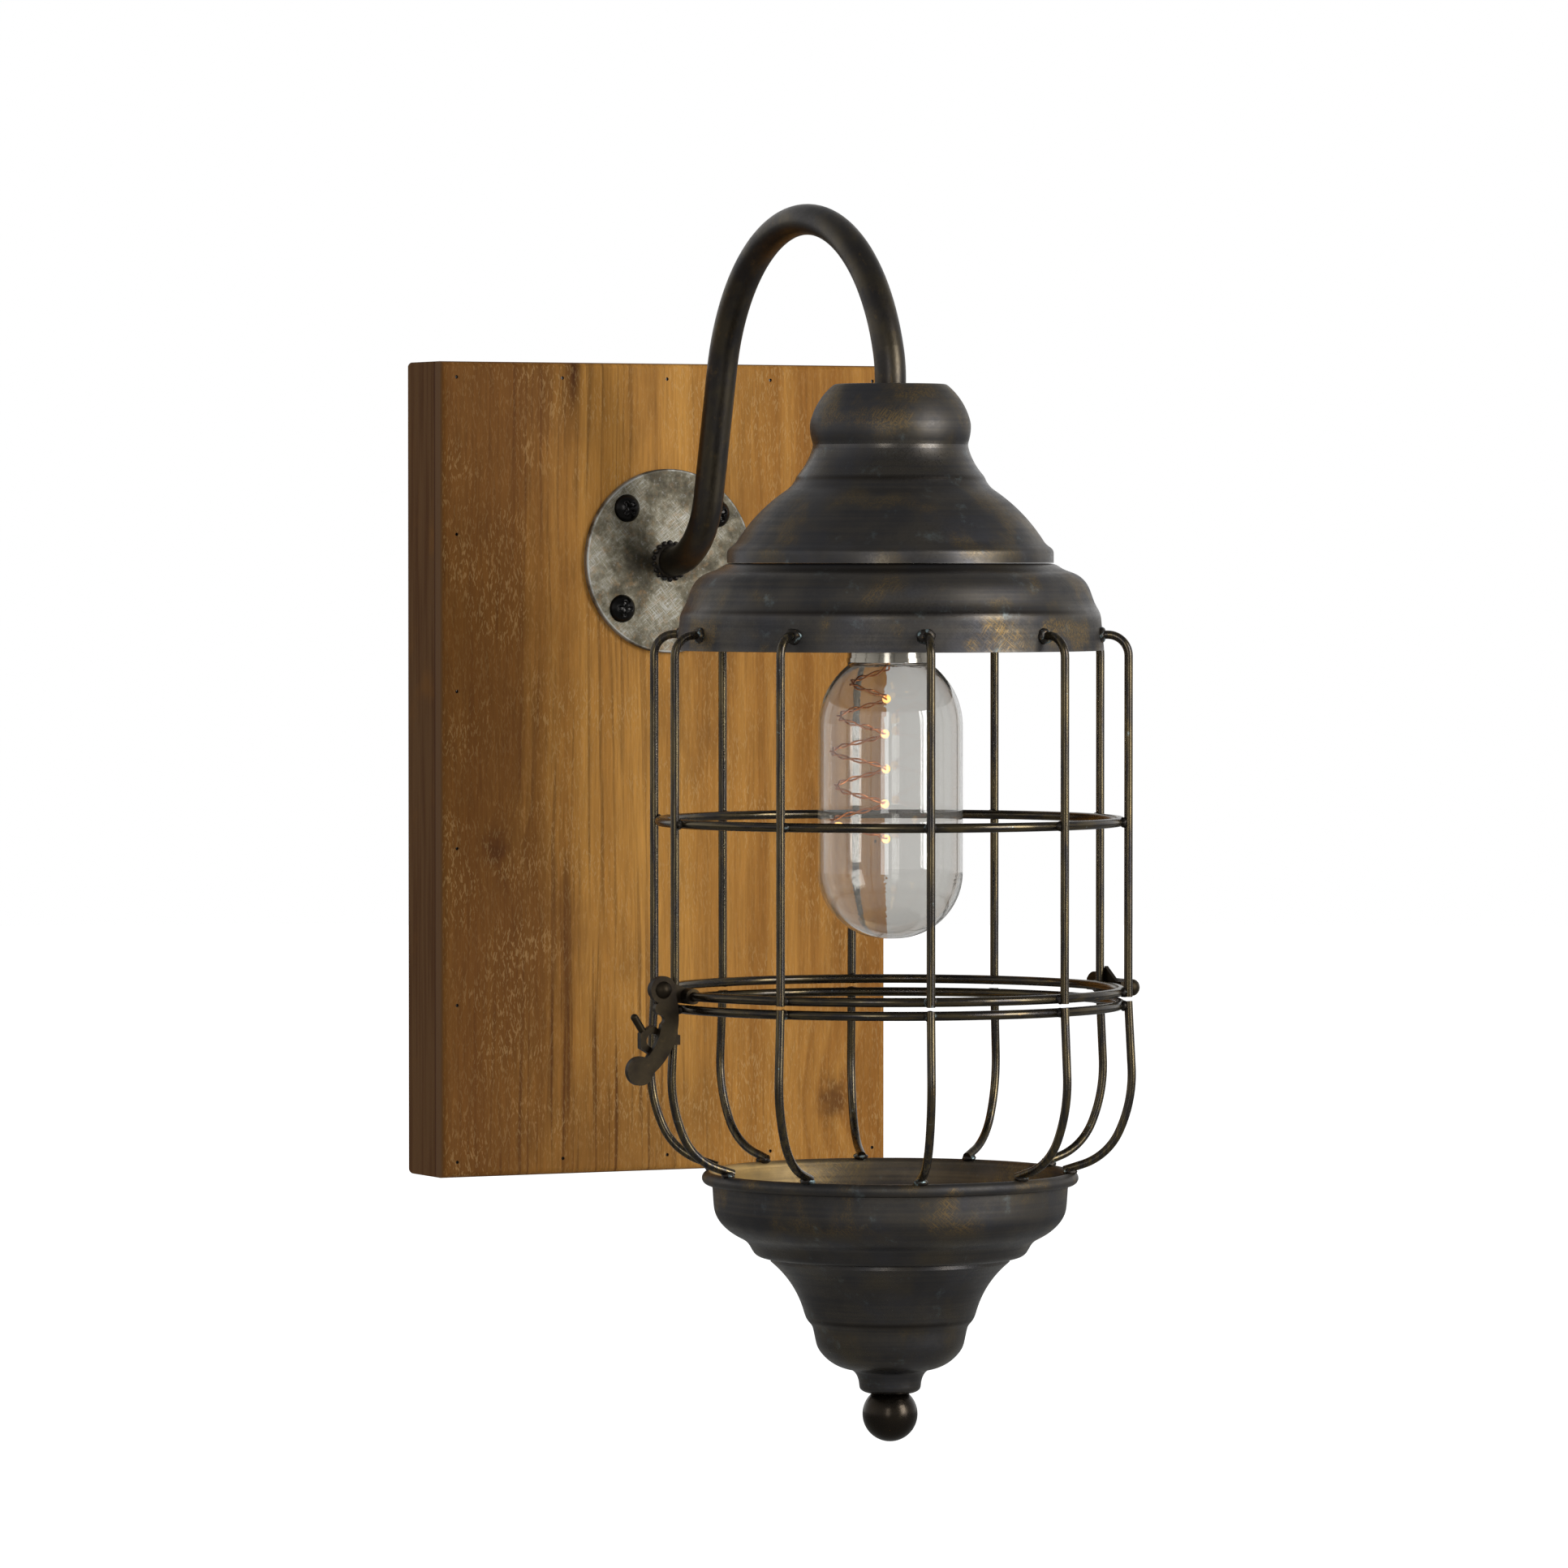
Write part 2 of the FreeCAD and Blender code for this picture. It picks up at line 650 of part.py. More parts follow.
def ring(z):
    return Part.makeTorus(ring_radius, ring_wire, V(0, axis_y, z), UP)


def make_cage():
    """Upper wires, bent over from the hood's rim and welded outside the mid and upper door rings."""
    weld_z = hood_rim + WIRE_WELD_HEIGHT
    start = rim_radius_at(weld_z - wire_radius) + WELD_GAP
    out = wire_circle - start - WIRE_SHOULDER
    down = weld_z - WIRE_SHOULDER - (upper_ring_z - ring_wire)
    moves = [(None, out), (WIRE_SHOULDER, -90), (None, down)]
    wire = rod(bent_path((start, weld_z), 0, moves), WIRE_DIAMETER)
    for index, angle in enumerate(wire_angles()):
        save("upper_wire_%02d" % (index + 1), spread_round(wire, angle))
    save("mid_ring", ring(mid_ring_z))
    save("upper_door_ring", ring(upper_ring_z))


def lower_wire():
    """Wire from the lower door ring out over the belly and in along the foot to the cup's rim."""
    start = (wire_circle, lower_ring_z + ring_wire)
    headings = [-90 + BASKET_LEAN, -90 + BASKET_LEAN - BELLY_TURN, FOOT_SLOPE - 180]
    turns = [math.radians(h) for h in headings]
    ways = [(math.cos(t), math.sin(t)) for t in turns]
    shift_r = 0.0
    shift_z = 0.0
    for radius, first, last in ((BELLY_RADIUS, 0, 1), (FOOT_RADIUS, 1, 2)):
        shift_r += -radius * (math.sin(turns[last]) - math.sin(turns[first]))
        shift_z += radius * (math.cos(turns[last]) - math.cos(turns[first]))
    lift = CUP_BEAD + wire_radius + WELD_GAP
    foot = ways[2]
    end_r = CUP_RIM_RADIUS + foot[1] * lift + foot[0] * FOOT_OVERHANG
    end_z = cup_rim_z - foot[0] * lift + foot[1] * FOOT_OVERHANG
    gap_r = end_r - start[0] - shift_r
    gap_z = end_z - start[1] - shift_z
    scale = ways[0][0] * foot[1] - ways[0][1] * foot[0]
    leg = (gap_r * foot[1] - gap_z * foot[0]) / scale
    toe = (ways[0][0] * gap_z - ways[0][1] * gap_r) / scale
    moves = [(None, leg), (BELLY_RADIUS, headings[1] - headings[0]),
             (FOOT_RADIUS, headings[2] - headings[1]), (None, toe)]
    return rod(bent_path(start, headings[0], moves), WIRE_DIAMETER)


def make_basket():
    save("lower_door_ring", ring(lower_ring_z))
    wire = lower_wire()
    for index, angle in enumerate(wire_angles()):
        save("lower_wire_%02d" % (index + 1), spread_round(wire, angle))


def make_cup():
    wall_end = cup_rim_z - BOWL_WALL_HEIGHT
    foot = wall_end - BOWL_FOOT_HEIGHT
    band = foot - BOWL_BAND_HEIGHT
    base = band - BOWL_BASE_HEIGHT
    lip = base - BOWL_LIP_HEIGHT
    bowl_outline = [
        (CUP_RIM_RADIUS - CUP_BEAD / 2, cup_rim_z, 0),
        (BOWL_RADIUS, wall_end, 0.20),
        (BOWL_FOOT_RADIUS, foot, -0.20),
        (BOWL_BAND_RADIUS, band, 0),
        (BOWL_BASE_RADIUS, base, 0.25),
        (BOWL_LIP_RADIUS, lip, 0),
        (BOWL_MOUTH_RADIUS, lip, 0),
    ]
    bead = Part.makeTorus(CUP_RIM_RADIUS, CUP_BEAD, V(0, axis_y, cup_rim_z), UP)
    save("cup_bowl", joined([spun_sheet(bowl_outline, SHEET), bead]))

    cone_top = lip - SEAT_GAP
    lip_low = cone_top - CONE_LIP_HEIGHT
    cove = lip_low - CONE_COVE_HEIGHT
    step = cove - CONE_STEP_HEIGHT
    waist = step - CONE_WAIST_HEIGHT
    tail = waist - CONE_TAIL_HEIGHT
    collar = tail - COLLAR_HEIGHT
    floor = collar - COLLAR_FLOOR_HEIGHT
    cone_outline = [
        (CONE_TOP_RADIUS, cone_top, 0),
        (CONE_TOP_RADIUS, lip_low, -0.17),
        (CONE_COVE_RADIUS, cove, 0.10),
        (CONE_STEP_RADIUS, step, 0),
        (CONE_WAIST_RADIUS, waist, 0.26),
        (CONE_TAIL_RADIUS, tail, -0.24),
        (COLLAR_RADIUS, collar, 0.30),
        (FINIAL_SEAT_RADIUS, floor, 0),
        (FINIAL_STEM_RADIUS + HOLE_FIT, floor, 0),
    ]
    save("cup_cone", spun_sheet(cone_outline, SHEET))

    seat = floor - SEAT_GAP
    centre = seat - math.sqrt(FINIAL_RADIUS ** 2 - FINIAL_SEAT_RADIUS ** 2)
    ball = Part.makeSphere(FINIAL_RADIUS, V(0, axis_y, centre))
    above = cylinder(FINIAL_RADIUS, FINIAL_RADIUS, V(0, axis_y, seat))
    stem = cylinder(FINIAL_STEM_RADIUS, FINIAL_STEM_HEIGHT, V(0, axis_y, seat))
    save("finial_ball", joined([ball.cut(above), stem]))


def face_of(edges):
    return Part.Face(Part.Wire(Part.__sortEdges__(edges)))


def straight_face(points):
    """Flat face with straight sides through points in the X-Z plane."""
    closed = points + points[:1]
    return face_of([bowed_edge(a, b, 0) for a, b in zip(closed[:-1], closed[1:])])


def make_latch():
    """Clip, rivet and bowed lever on the cage's left, and the hexagonal keeper on the basket."""
    pivot_x = -(wire_circle + LATCH_STANDOFF)
    pivot_z = upper_ring_z + LATCH_RISE
    ear_near = wire_radius + WELD_GAP
    lever_near = ear_near + max(CLIP_EAR, KEEPER_THICKNESS) + SIDE_GAP

    paddle = (pivot_x - PADDLE_OUT, pivot_z - PADDLE_DROP)
    reach = math.hypot(PADDLE_OUT, PADDLE_DROP)
    along = (-PADDLE_OUT / reach, -PADDLE_DROP / reach)
    inward = (-along[1], along[0])
    ends = []
    for side, eye_share, paddle_share in ((1, 1.0, 0.9), (-1, 0.9, 0.6)):
        ends.append((pivot_x + side * inward[0] * LATCH_EYE * eye_share,
                     pivot_z + side * inward[1] * LATCH_EYE * eye_share))
        ends.append((paddle[0] + side * inward[0] * PADDLE_RADIUS * paddle_share,
                     paddle[1] + side * inward[1] * PADDLE_RADIUS * paddle_share))
    bow = [bowed_edge(ends[0], ends[1], LEVER_OUTER_BOW), bowed_edge(ends[1], ends[3], 0),
           bowed_edge(ends[2], ends[3], LEVER_INNER_BOW), bowed_edge(ends[2], ends[0], 0)]
    blade = plate_across(face_of(bow), lever_near, LATCH_PLATE)
    forward = V(0, -1, 0)
    lever_y = axis_y - lever_near
    eye = cylinder(LATCH_EYE, LATCH_PLATE, V(pivot_x, lever_y, pivot_z), forward)
    thumb = cylinder(PADDLE_RADIUS, LATCH_PLATE, V(paddle[0], lever_y, paddle[1]), forward)
    hole = cylinder(RIVET_RADIUS + RUNNING_FIT, LATCH_PLATE, V(pivot_x, lever_y, pivot_z), forward)
    spur = cylinder(SPUR_RADIUS, LATCH_PLATE, V(pivot_x - SPUR_OUT, lever_y, pivot_z - SPUR_DROP), forward)
    notch_spot = V(pivot_x - NOTCH_OUT, lever_y, pivot_z - NOTCH_DROP)
    notch = cylinder(NOTCH_RADIUS, LATCH_PLATE, notch_spot, forward)
    save("latch_lever", joined([blade, eye, thumb, spur]).cut([hole, notch]))

    clip_y = axis_y - ear_near
    ring_x = -math.sqrt(ring_radius ** 2 - (ear_near + CLIP_LENGTH / 2) ** 2)
    sleeve = cylinder(ring_wire + CLIP_WALL, CLIP_LENGTH, V(ring_x, clip_y, upper_ring_z), forward)
    ear_radius = LATCH_EYE - CLIP_WALL
    sleeve_radius = ring_wire + CLIP_WALL
    ear_outline = [(ring_x, upper_ring_z - sleeve_radius), (ring_x, upper_ring_z + sleeve_radius),
                   (pivot_x, pivot_z + ear_radius), (pivot_x, pivot_z - ear_radius)]
    ear = plate_across(straight_face(ear_outline), ear_near, CLIP_EAR)
    ear_end = cylinder(ear_radius, CLIP_EAR, V(pivot_x, clip_y, pivot_z), forward)
    ear_hole = cylinder(RIVET_RADIUS + RUNNING_FIT, CLIP_EAR, V(pivot_x, clip_y, pivot_z), forward)
    ring_room = Part.makeTorus(ring_radius, ring_wire + WELD_GAP, V(0, axis_y, upper_ring_z), UP)
    save("latch_clip", joined([sleeve, ear, ear_end]).cut([ring_room, ear_hole]))

    front_seat = lever_near + LATCH_PLATE + SEAT_GAP
    back_seat = ear_near - SEAT_GAP
    back = V(pivot_x, axis_y - back_seat, pivot_z)
    front = V(pivot_x, axis_y - front_seat, pivot_z)
    shank = cylinder(RIVET_RADIUS, front_seat - back_seat, back, forward)
    tail = cylinder(RIVET_TAIL_RADIUS, CLIP_WALL, back, INTO_WALL)
    head = dome_on(front, forward, RIVET_HEAD_RADIUS, RIVET_HEAD_HEIGHT)
    save("latch_rivet", joined([shank, tail, head]))

    make_keeper(ear_near)


def make_keeper(near):
    """Hexagonal eye on an arm welded to the front of the lower wire, with a horn above it."""
    eye_x = -(wire_circle + KEEPER_REACH)
    eye_z = lower_ring_z - KEEPER_DROP
    keeper_y = axis_y - near
    forward = V(0, -1, 0)
    corner = KEEPER_FLATS / math.sqrt(3)
    turns = [math.radians(60 * k + 30) for k in range(6)]
    corners = [(eye_x + corner * math.cos(turn), eye_z + corner * math.sin(turn)) for turn in turns]
    eye = plate_across(straight_face(corners), near, KEEPER_THICKNESS)
    arm = box_between(V(eye_x, keeper_y - KEEPER_THICKNESS, eye_z - KEEPER_ARM / 2),
                      V(-wire_circle, keeper_y, eye_z + KEEPER_ARM / 2))
    middle = keeper_y - KEEPER_THICKNESS / 2
    tilt = math.radians(HORN_TILT)
    way = V(-math.sin(tilt), 0, math.cos(tilt))
    root = V(eye_x - corner / 2, middle, eye_z + KEEPER_FLATS / 4)
    tip = root + way * HORN_LENGTH
    horn = cylinder(HORN_DIAMETER / 2, HORN_LENGTH, root, way)
    cap = Part.makeSphere(HORN_DIAMETER / 2, tip)
    hole = cylinder(KEEPER_HOLE, KEEPER_THICKNESS, V(eye_x, keeper_y, eye_z), forward)
    save("latch_keeper", joined([eye, arm, horn, cap]).cut(hole))


def hinge_leaf_face(low, top):
    """Outline of the cage's hinge leaf: a strip with a round crest at the back and a peak near the middle."""
    half = HINGE_LENGTH / 2
    points = [(-half, top), (-half, low), (half, low), (half, top), (HINGE_PEAK_FRONT, top),
              (HINGE_PEAK_TIP, top + HINGE_PEAK_RISE), (-HINGE_PEAK_BACK, top)]
    edges = [bowed_edge(a, b, 0) for a, b in zip(points[:-1], points[1:])]
    edges.append(bowed_edge(points[0], points[-1], HINGE_ARCH_BOW))
    return face_of(edges)


def make_hinge():
    """Cage leaf with two ears, basket leaf with one long knuckle between them, and the rivet."""
    pin_x = wire_circle + HINGE_STANDOFF
    pin_z = upper_ring_z - HINGE_DROP
    leaf_x = wire_circle + wire_radius + WELD_GAP
    half = HINGE_LENGTH / 2
    inside = half - HINGE_EAR
    forward = V(0, -1, 0)
    bore = cylinder(HINGE_PIN_RADIUS + RUNNING_FIT, HINGE_LENGTH, V(pin_x, axis_y + half, pin_z), forward)

    leaf_low = pin_z - HINGE_LEAF_BELOW
    leaf = hinge_leaf_face(leaf_low, pin_z + HINGE_LEAF_ABOVE)
    leaf.rotate(V(0, 0, 0), UP, -90)
    leaf.translate(V(leaf_x, axis_y, 0))
    pieces = [leaf.extrude(V(HINGE_LEAF, 0, 0))]
    for near in (inside, -half):
        ear_y = axis_y - near
        lobe = cylinder(HINGE_EAR_RADIUS, HINGE_EAR, V(pin_x, ear_y, pin_z), forward)
        web = box_between(V(leaf_x, ear_y - HINGE_EAR, leaf_low), V(pin_x, ear_y, pin_z + HINGE_LEAF_BELOW))
        pieces += [lobe, web]
    save("hinge_cage_leaf", joined(pieces).cut(bore))

    knuckle_half = inside - SIDE_GAP
    knuckle = cylinder(HINGE_KNUCKLE, 2 * knuckle_half, V(pin_x, axis_y + knuckle_half, pin_z), forward)
    strap_top = leaf_low - 2 * SIDE_GAP
    strap_low = strap_top - HINGE_STRAP_LENGTH
    lean = math.tan(math.radians(BASKET_LEAN))
    wire_top = lower_ring_z + ring_wire
    foot_x = leaf_x + (wire_top - strap_low) * lean
    top_x = leaf_x + max(0, wire_top - strap_top) * lean
    inner_knuckle = (HINGE_KNUCKLE + HINGE_PIN_RADIUS) / 2
    curl = inner_knuckle * math.sqrt(0.5)
    strap_outline = [(foot_x, strap_low), (foot_x + HINGE_LEAF, strap_low),
                     (top_x + HINGE_LEAF, strap_top - HINGE_LEAF), (pin_x, pin_z - inner_knuckle),
                     (pin_x - curl, pin_z - curl), (top_x, strap_top)]
    strap = plate_across(straight_face(strap_outline), -HINGE_STRAP_WIDTH / 2, HINGE_STRAP_WIDTH)
    save("hinge_basket_leaf", joined([knuckle, strap]).cut(bore))

    seat = half + SEAT_GAP
    front = V(pin_x, axis_y - seat, pin_z)
    back = V(pin_x, axis_y + seat, pin_z)
    shank = cylinder(HINGE_PIN_RADIUS, 2 * seat, back, forward)
    heads = [dome_on(front, forward, HINGE_HEAD_RADIUS, HINGE_HEAD_HEIGHT),
             dome_on(back, INTO_WALL, HINGE_HEAD_RADIUS, HINGE_HEAD_HEIGHT)]
    save("hinge_pin", joined([shank] + heads))


def make_lamp():
    """Battery barrel screwed to the arm's tail, its cells and contact, and the bulb below it."""
    washer_top = hood_top - SHEET - SEAT_GAP
    washer_low = washer_top - WASHER_THICKNESS
    stem_top = washer_low - SEAT_GAP
    cap_top = stem_top - STEM_HEIGHT
    cap_low = cap_top - BARREL_CAP
    barrel_low = hood_rim - BARREL_DROP_PAST_RIM
    bore = arm_radius + RUNNING_FIT
    inner = BARREL_RADIUS - BARREL_WALL

    washer_hole = arm_radius + HOLE_FIT
    save("hood_washer", turned_stack([
        (washer_hole, washer_top), (WASHER_RADIUS, washer_top), (WASHER_RADIUS, washer_low),
        (washer_hole, washer_low)]))
    save("battery_barrel", turned_stack([
        (bore, stem_top), (STEM_RADIUS, stem_top), (STEM_RADIUS, cap_top), (BARREL_RADIUS, cap_top),
        (BARREL_RADIUS, barrel_low), (inner, barrel_low), (inner, cap_low), (bore, cap_low)]))

    disc_top = cap_low - SEAT_GAP
    disc_low = disc_top - CONTACT_THICKNESS
    contact = [cylinder(inner - HOLE_FIT, CONTACT_THICKNESS, V(0, axis_y, disc_low))]
    cell_top = disc_low - CONTACT_PAD_HEIGHT - SEAT_GAP
    cell_low = cell_top - CELL_NUB_HEIGHT - CELL_LENGTH
    for index in range(CELL_COUNT):
        spot = polar(cell_circle, index * 360.0 / CELL_COUNT, cell_low)
        body = cylinder(CELL_RADIUS, CELL_LENGTH, spot)
        nub = cylinder(CELL_NUB_RADIUS, CELL_NUB_HEIGHT, spot + UP * CELL_LENGTH)
        save("battery_cell_%d" % (index + 1), joined([body, nub]))
        pad = V(spot.x, spot.y, disc_low - CONTACT_PAD_HEIGHT)
        contact.append(cylinder(CONTACT_PAD_RADIUS, CONTACT_PAD_HEIGHT, pad))
    save("contact_disc", joined(contact))

    band_top = barrel_low - SEAT_GAP
    lip_top = band_top - COLLAR_BAND
    lip_low = lip_top - COLLAR_LIP
    spigot = inner - RUNNING_FIT
    throat = GLASS_NECK_RADIUS + RUNNING_FIT
    save("bulb_collar", turned_stack([
        (throat, band_top + SPIGOT_HEIGHT), (spigot, band_top + SPIGOT_HEIGHT), (spigot, band_top),
        (BARREL_RADIUS, band_top), (BARREL_RADIUS, lip_top), (BARREL_RADIUS + COLLAR_LIP_OUT, lip_top),
        (BARREL_RADIUS + COLLAR_LIP_OUT, lip_low), (throat, lip_low)]))

    neck_top = lip_low + GLASS_NECK_HEIGHT
    plug_low = neck_top + SEAT_GAP
    plug_top = plug_low + PLUG_THICKNESS
    pedestal_top = cell_low - SIDE_GAP
    save("bulb_plug", turned_stack([
        (0, plug_low), (GLASS_NECK_RADIUS - HOLE_FIT, plug_low), (GLASS_NECK_RADIUS - HOLE_FIT, plug_top),
        (PLUG_PEDESTAL_RADIUS, plug_top), (PLUG_PEDESTAL_RADIUS, pedestal_top), (0, pedestal_top)]))

    make_glass(neck_top, lip_low)
    make_fairy_lights(plug_low - SEAT_GAP)


def make_glass(neck_top, lip_low):
    """Blown tube of the bulb: neck, round shoulder, straight body and a round end with a pip."""
    neck_low = lip_low - SEAT_GAP
    throat = neck_low - GLASS_THROAT_DROP
    shoulder = throat - GLASS_SHOULDER_HEIGHT
    body = shoulder - GLASS_BODY_HEIGHT
    end = body - GLASS_END_HEIGHT
    outline = [
        (GLASS_NECK_RADIUS, neck_top, 0),
        (GLASS_NECK_RADIUS, neck_low, 0),
        (GLASS_THROAT_RADIUS, throat, 0.23),
        (GLASS_RADIUS, shoulder, 0),
        (GLASS_RADIUS, body, math.tan(math.radians(22.5))),
        (GLASS_PIP, end, 0),
        (0, end, 0),
    ]
    inner = inset(outline[:-1], GLASS_WALL)
    inner[-1] = (0, end + GLASS_WALL, 0)
    edges = outline_edges(outline) + outline_edges(inner)
    edges.append(bowed_edge(outline[0], inner[0], 0))
    edges.append(bowed_edge(outline[-1], inner[-1], 0))
    save("bulb_glass", turned(edges))


def fairy_point(turn, top):
    """Point of the winding after a number of turns; the coil swells and shrinks as it goes down."""
    angle = 2 * math.pi * turn
    grown = 1 - FAIRY_TAPER * math.exp(-2 * turn)
    swell = FAIRY_SWELL * math.sin(FAIRY_WAVES * angle / FAIRY_TURNS)
    radius = grown * (FAIRY_RADIUS + swell)
    x = grown * FAIRY_OFFSET_X + radius * math.cos(angle)
    y = grown * FAIRY_OFFSET_Y + radius * math.sin(angle)
    return V(x, axis_y + y, top - FAIRY_PITCH * turn)


def fairy_heading(turn, top):
    step = 0.001
    way = fairy_point(turn + step, top) - fairy_point(turn - step, top)
    return way.normalize()


def arc_between(start, corner, end):
    """Arc that leaves start and reaches end along lines that meet at the corner."""
    middle = (start + end) * 0.5
    half = (end - start).Length / 2
    toward = corner - middle
    rise = half * math.tan(math.atan2(toward.Length, half) / 2)
    return Part.Arc(start, middle + toward.normalize() * rise, end).toShape()


def biarc(a, way_a, b, way_b):
    """Two tangent arcs from a to b with the given end directions."""
    span = b - a
    both = way_a + way_b
    spread = 2 * (1 - way_a.dot(way_b))
    slope = span.dot(both)
    reach = (-slope + math.sqrt(slope ** 2 + spread * span.dot(span))) / spread
    first = a + way_a * reach
    second = b - way_b * reach
    joint = (first + second) * 0.5
    return [arc_between(a, first, joint), arc_between(joint, second, b)]


def make_fairy_lights(top):
    """One unbroken wire: a straight lead from the plug, then the winding, with light drops on it."""
    coil_top = top - FAIRY_LEAD
    quarters = [index / 4 for index in range(4 * FAIRY_TURNS + 1)]
    points = [fairy_point(turn, coil_top) for turn in quarters]
    ways = [fairy_heading(turn, coil_top) for turn in quarters]
    lead_top = V(points[0].x / 2, points[0].y, top)
    lead_low = lead_top - UP * (2 * FAIRY_DIAMETER)
    edges = [Part.LineSegment(lead_top, lead_low).toShape()]
    edges += biarc(lead_low, V(0, 0, -1), points[0], ways[0])
    for index in range(len(points) - 1):
        edges += biarc(points[index], ways[index], points[index + 1], ways[index + 1])
    wire = rod(edges, FAIRY_DIAMETER)
    length = sum(edge.Length for edge in edges)
    section = math.pi * FAIRY_DIAMETER ** 2 / 4
    print("fairy wire volume over section times length: %.4f" % (wire.Volume / (section * length)))
    print("fairy wire least gap to itself: %.2f mm" % least_self_gap(coil_top))
    save("fairy_wire", wire)

    drops = []
    room = rod(edges, FAIRY_DIAMETER + 2 * RUNNING_FIT)
    places = [index + DROP_PHASE for index in range(FAIRY_TURNS)]
    places.append(FAIRY_TURNS - LAST_DROP_BACK)
    for turn in places:
        drop = Part.makeSphere(DROP_RADIUS)
        stretch = FreeCAD.Matrix()
        stretch.scale(1, 1, DROP_STRETCH)
        drop = drop.transformGeometry(stretch)
        aim = FreeCAD.Rotation(UP, fairy_heading(turn, coil_top))
        drop.Placement = FreeCAD.Placement(fairy_point(turn, coil_top), aim)
        drops.append(drop.cut(room))
    save("light_drops", Part.makeCompound(drops))


def least_self_gap(coil_top):
    """Least clear distance between parts of the winding more than half a turn apart."""
    steps = 24
    points = [fairy_point(index / steps, coil_top) for index in range(steps * FAIRY_TURNS + 1)]
    least = FAIRY_PITCH
    for first in range(len(points)):
        for second in range(first + steps // 2, len(points)):
            least = min(least, (points[first] - points[second]).Length - FAIRY_DIAMETER)
    return least


def main():
    os.makedirs("parts", exist_ok=True)
    make_backboard()
    make_hangers()
    make_flange()
    make_gooseneck()
    make_hood()
    make_cage()
    make_basket()
    make_cup()
    make_latch()
    make_hinge()
    make_lamp()


main()
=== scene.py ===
"""Looks of a gooseneck wall lantern: cage and hood in blackened brass on a stained pine board."""
import math

import bmesh
import bpy
from bpy.props import FloatProperty, FloatVectorProperty, IntProperty, PointerProperty
from mathutils import Matrix, Vector, noise


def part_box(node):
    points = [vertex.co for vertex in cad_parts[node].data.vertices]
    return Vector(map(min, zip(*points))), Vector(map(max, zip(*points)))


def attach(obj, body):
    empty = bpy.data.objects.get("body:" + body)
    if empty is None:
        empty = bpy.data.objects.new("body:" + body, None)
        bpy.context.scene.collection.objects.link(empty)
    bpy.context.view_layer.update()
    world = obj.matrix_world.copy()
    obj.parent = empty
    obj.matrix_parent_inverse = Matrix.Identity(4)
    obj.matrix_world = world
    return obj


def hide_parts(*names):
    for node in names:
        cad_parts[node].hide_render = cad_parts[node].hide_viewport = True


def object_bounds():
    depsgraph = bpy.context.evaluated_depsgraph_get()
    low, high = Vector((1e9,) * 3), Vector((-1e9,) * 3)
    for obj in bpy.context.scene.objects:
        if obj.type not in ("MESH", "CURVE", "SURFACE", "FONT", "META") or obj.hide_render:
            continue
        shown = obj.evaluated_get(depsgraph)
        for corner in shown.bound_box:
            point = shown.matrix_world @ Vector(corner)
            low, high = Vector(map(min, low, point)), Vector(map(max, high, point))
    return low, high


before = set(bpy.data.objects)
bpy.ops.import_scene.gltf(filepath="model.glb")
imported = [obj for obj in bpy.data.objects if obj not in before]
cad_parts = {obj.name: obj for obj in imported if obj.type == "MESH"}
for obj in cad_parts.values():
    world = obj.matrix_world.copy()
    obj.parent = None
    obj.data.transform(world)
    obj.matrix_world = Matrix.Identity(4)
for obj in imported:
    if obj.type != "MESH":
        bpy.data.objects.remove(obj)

bl_info = {
    "name": "Gooseneck wall lantern",
    "version": (1, 0, 0),
    "blender": (4, 5, 0),
    "location": "View3D > Sidebar > Lantern",
    "description": "Finishes and small fittings of a wire-cage wall lantern on a pine board",
    "category": "Object",
}

MM = 0.001
MERGE = 0.001 * MM
CAD_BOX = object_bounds()
PHOTO_WIDTH = 1932
SENSOR_WIDTH = 36.0

UPPER_WIRES = sorted(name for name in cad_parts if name.startswith("upper_wire"))
LOWER_WIRES = sorted(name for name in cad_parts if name.startswith("lower_wire"))
CELLS = sorted(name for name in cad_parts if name.startswith("battery_cell"))

# Winding of the fairy lights, the same as in the solid, and the shares that draw its two strands
WINDING_TURNS = 5
WINDING_PITCH = 10.7 * MM
WINDING_RADIUS = 7.9 * MM
WINDING_SWELL = 0.8 * MM
WINDING_WAVES = 2.5
WINDING_TAPER = 0.85
WINDING_GROWTH = 2.0
WINDING_SHIFT = (-8.4 * MM, 4.2 * MM)
WINDING_LEAD = 8.7 * MM
WINDING_DROP = 1.8 * MM
POINTS_PER_TURN = 40
STRANDS_APART = 0.95

# Heights and radii of the cage, read from the frame
RING_LOW, RING_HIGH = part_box("mid_ring")
AXIS_X = (RING_LOW.x + RING_HIGH.x) / 2
AXIS_Y = (RING_LOW.y + RING_HIGH.y) / 2
RING_WIRE = (RING_HIGH.z - RING_LOW.z) / 2
RING_OUTSIDE = (RING_HIGH.x - RING_LOW.x) / 2
MID_RING_Z = (RING_LOW.z + RING_HIGH.z) / 2
UPPER_RING_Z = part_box("upper_door_ring")[0].z + RING_WIRE
LOWER_RING_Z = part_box("lower_door_ring")[0].z + RING_WIRE
HOOD_RIM_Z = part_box("hood_skirt")[0].z
HOOD_RIM_RADIUS = (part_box("hood_skirt")[1].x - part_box("hood_skirt")[0].x) / 2
CUP_RIM_RADIUS = (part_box("cup_bowl")[1].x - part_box("cup_bowl")[0].x) / 2
CUP_TOP_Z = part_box("cup_bowl")[1].z
FLANGE_LOW, FLANGE_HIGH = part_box("wall_flange")
FLANGE_Z = (FLANGE_LOW.z + FLANGE_HIGH.z) / 2
FLANGE_RADIUS = (FLANGE_HIGH.z - FLANGE_LOW.z) / 2
FLANGE_FRONT = FLANGE_LOW.y
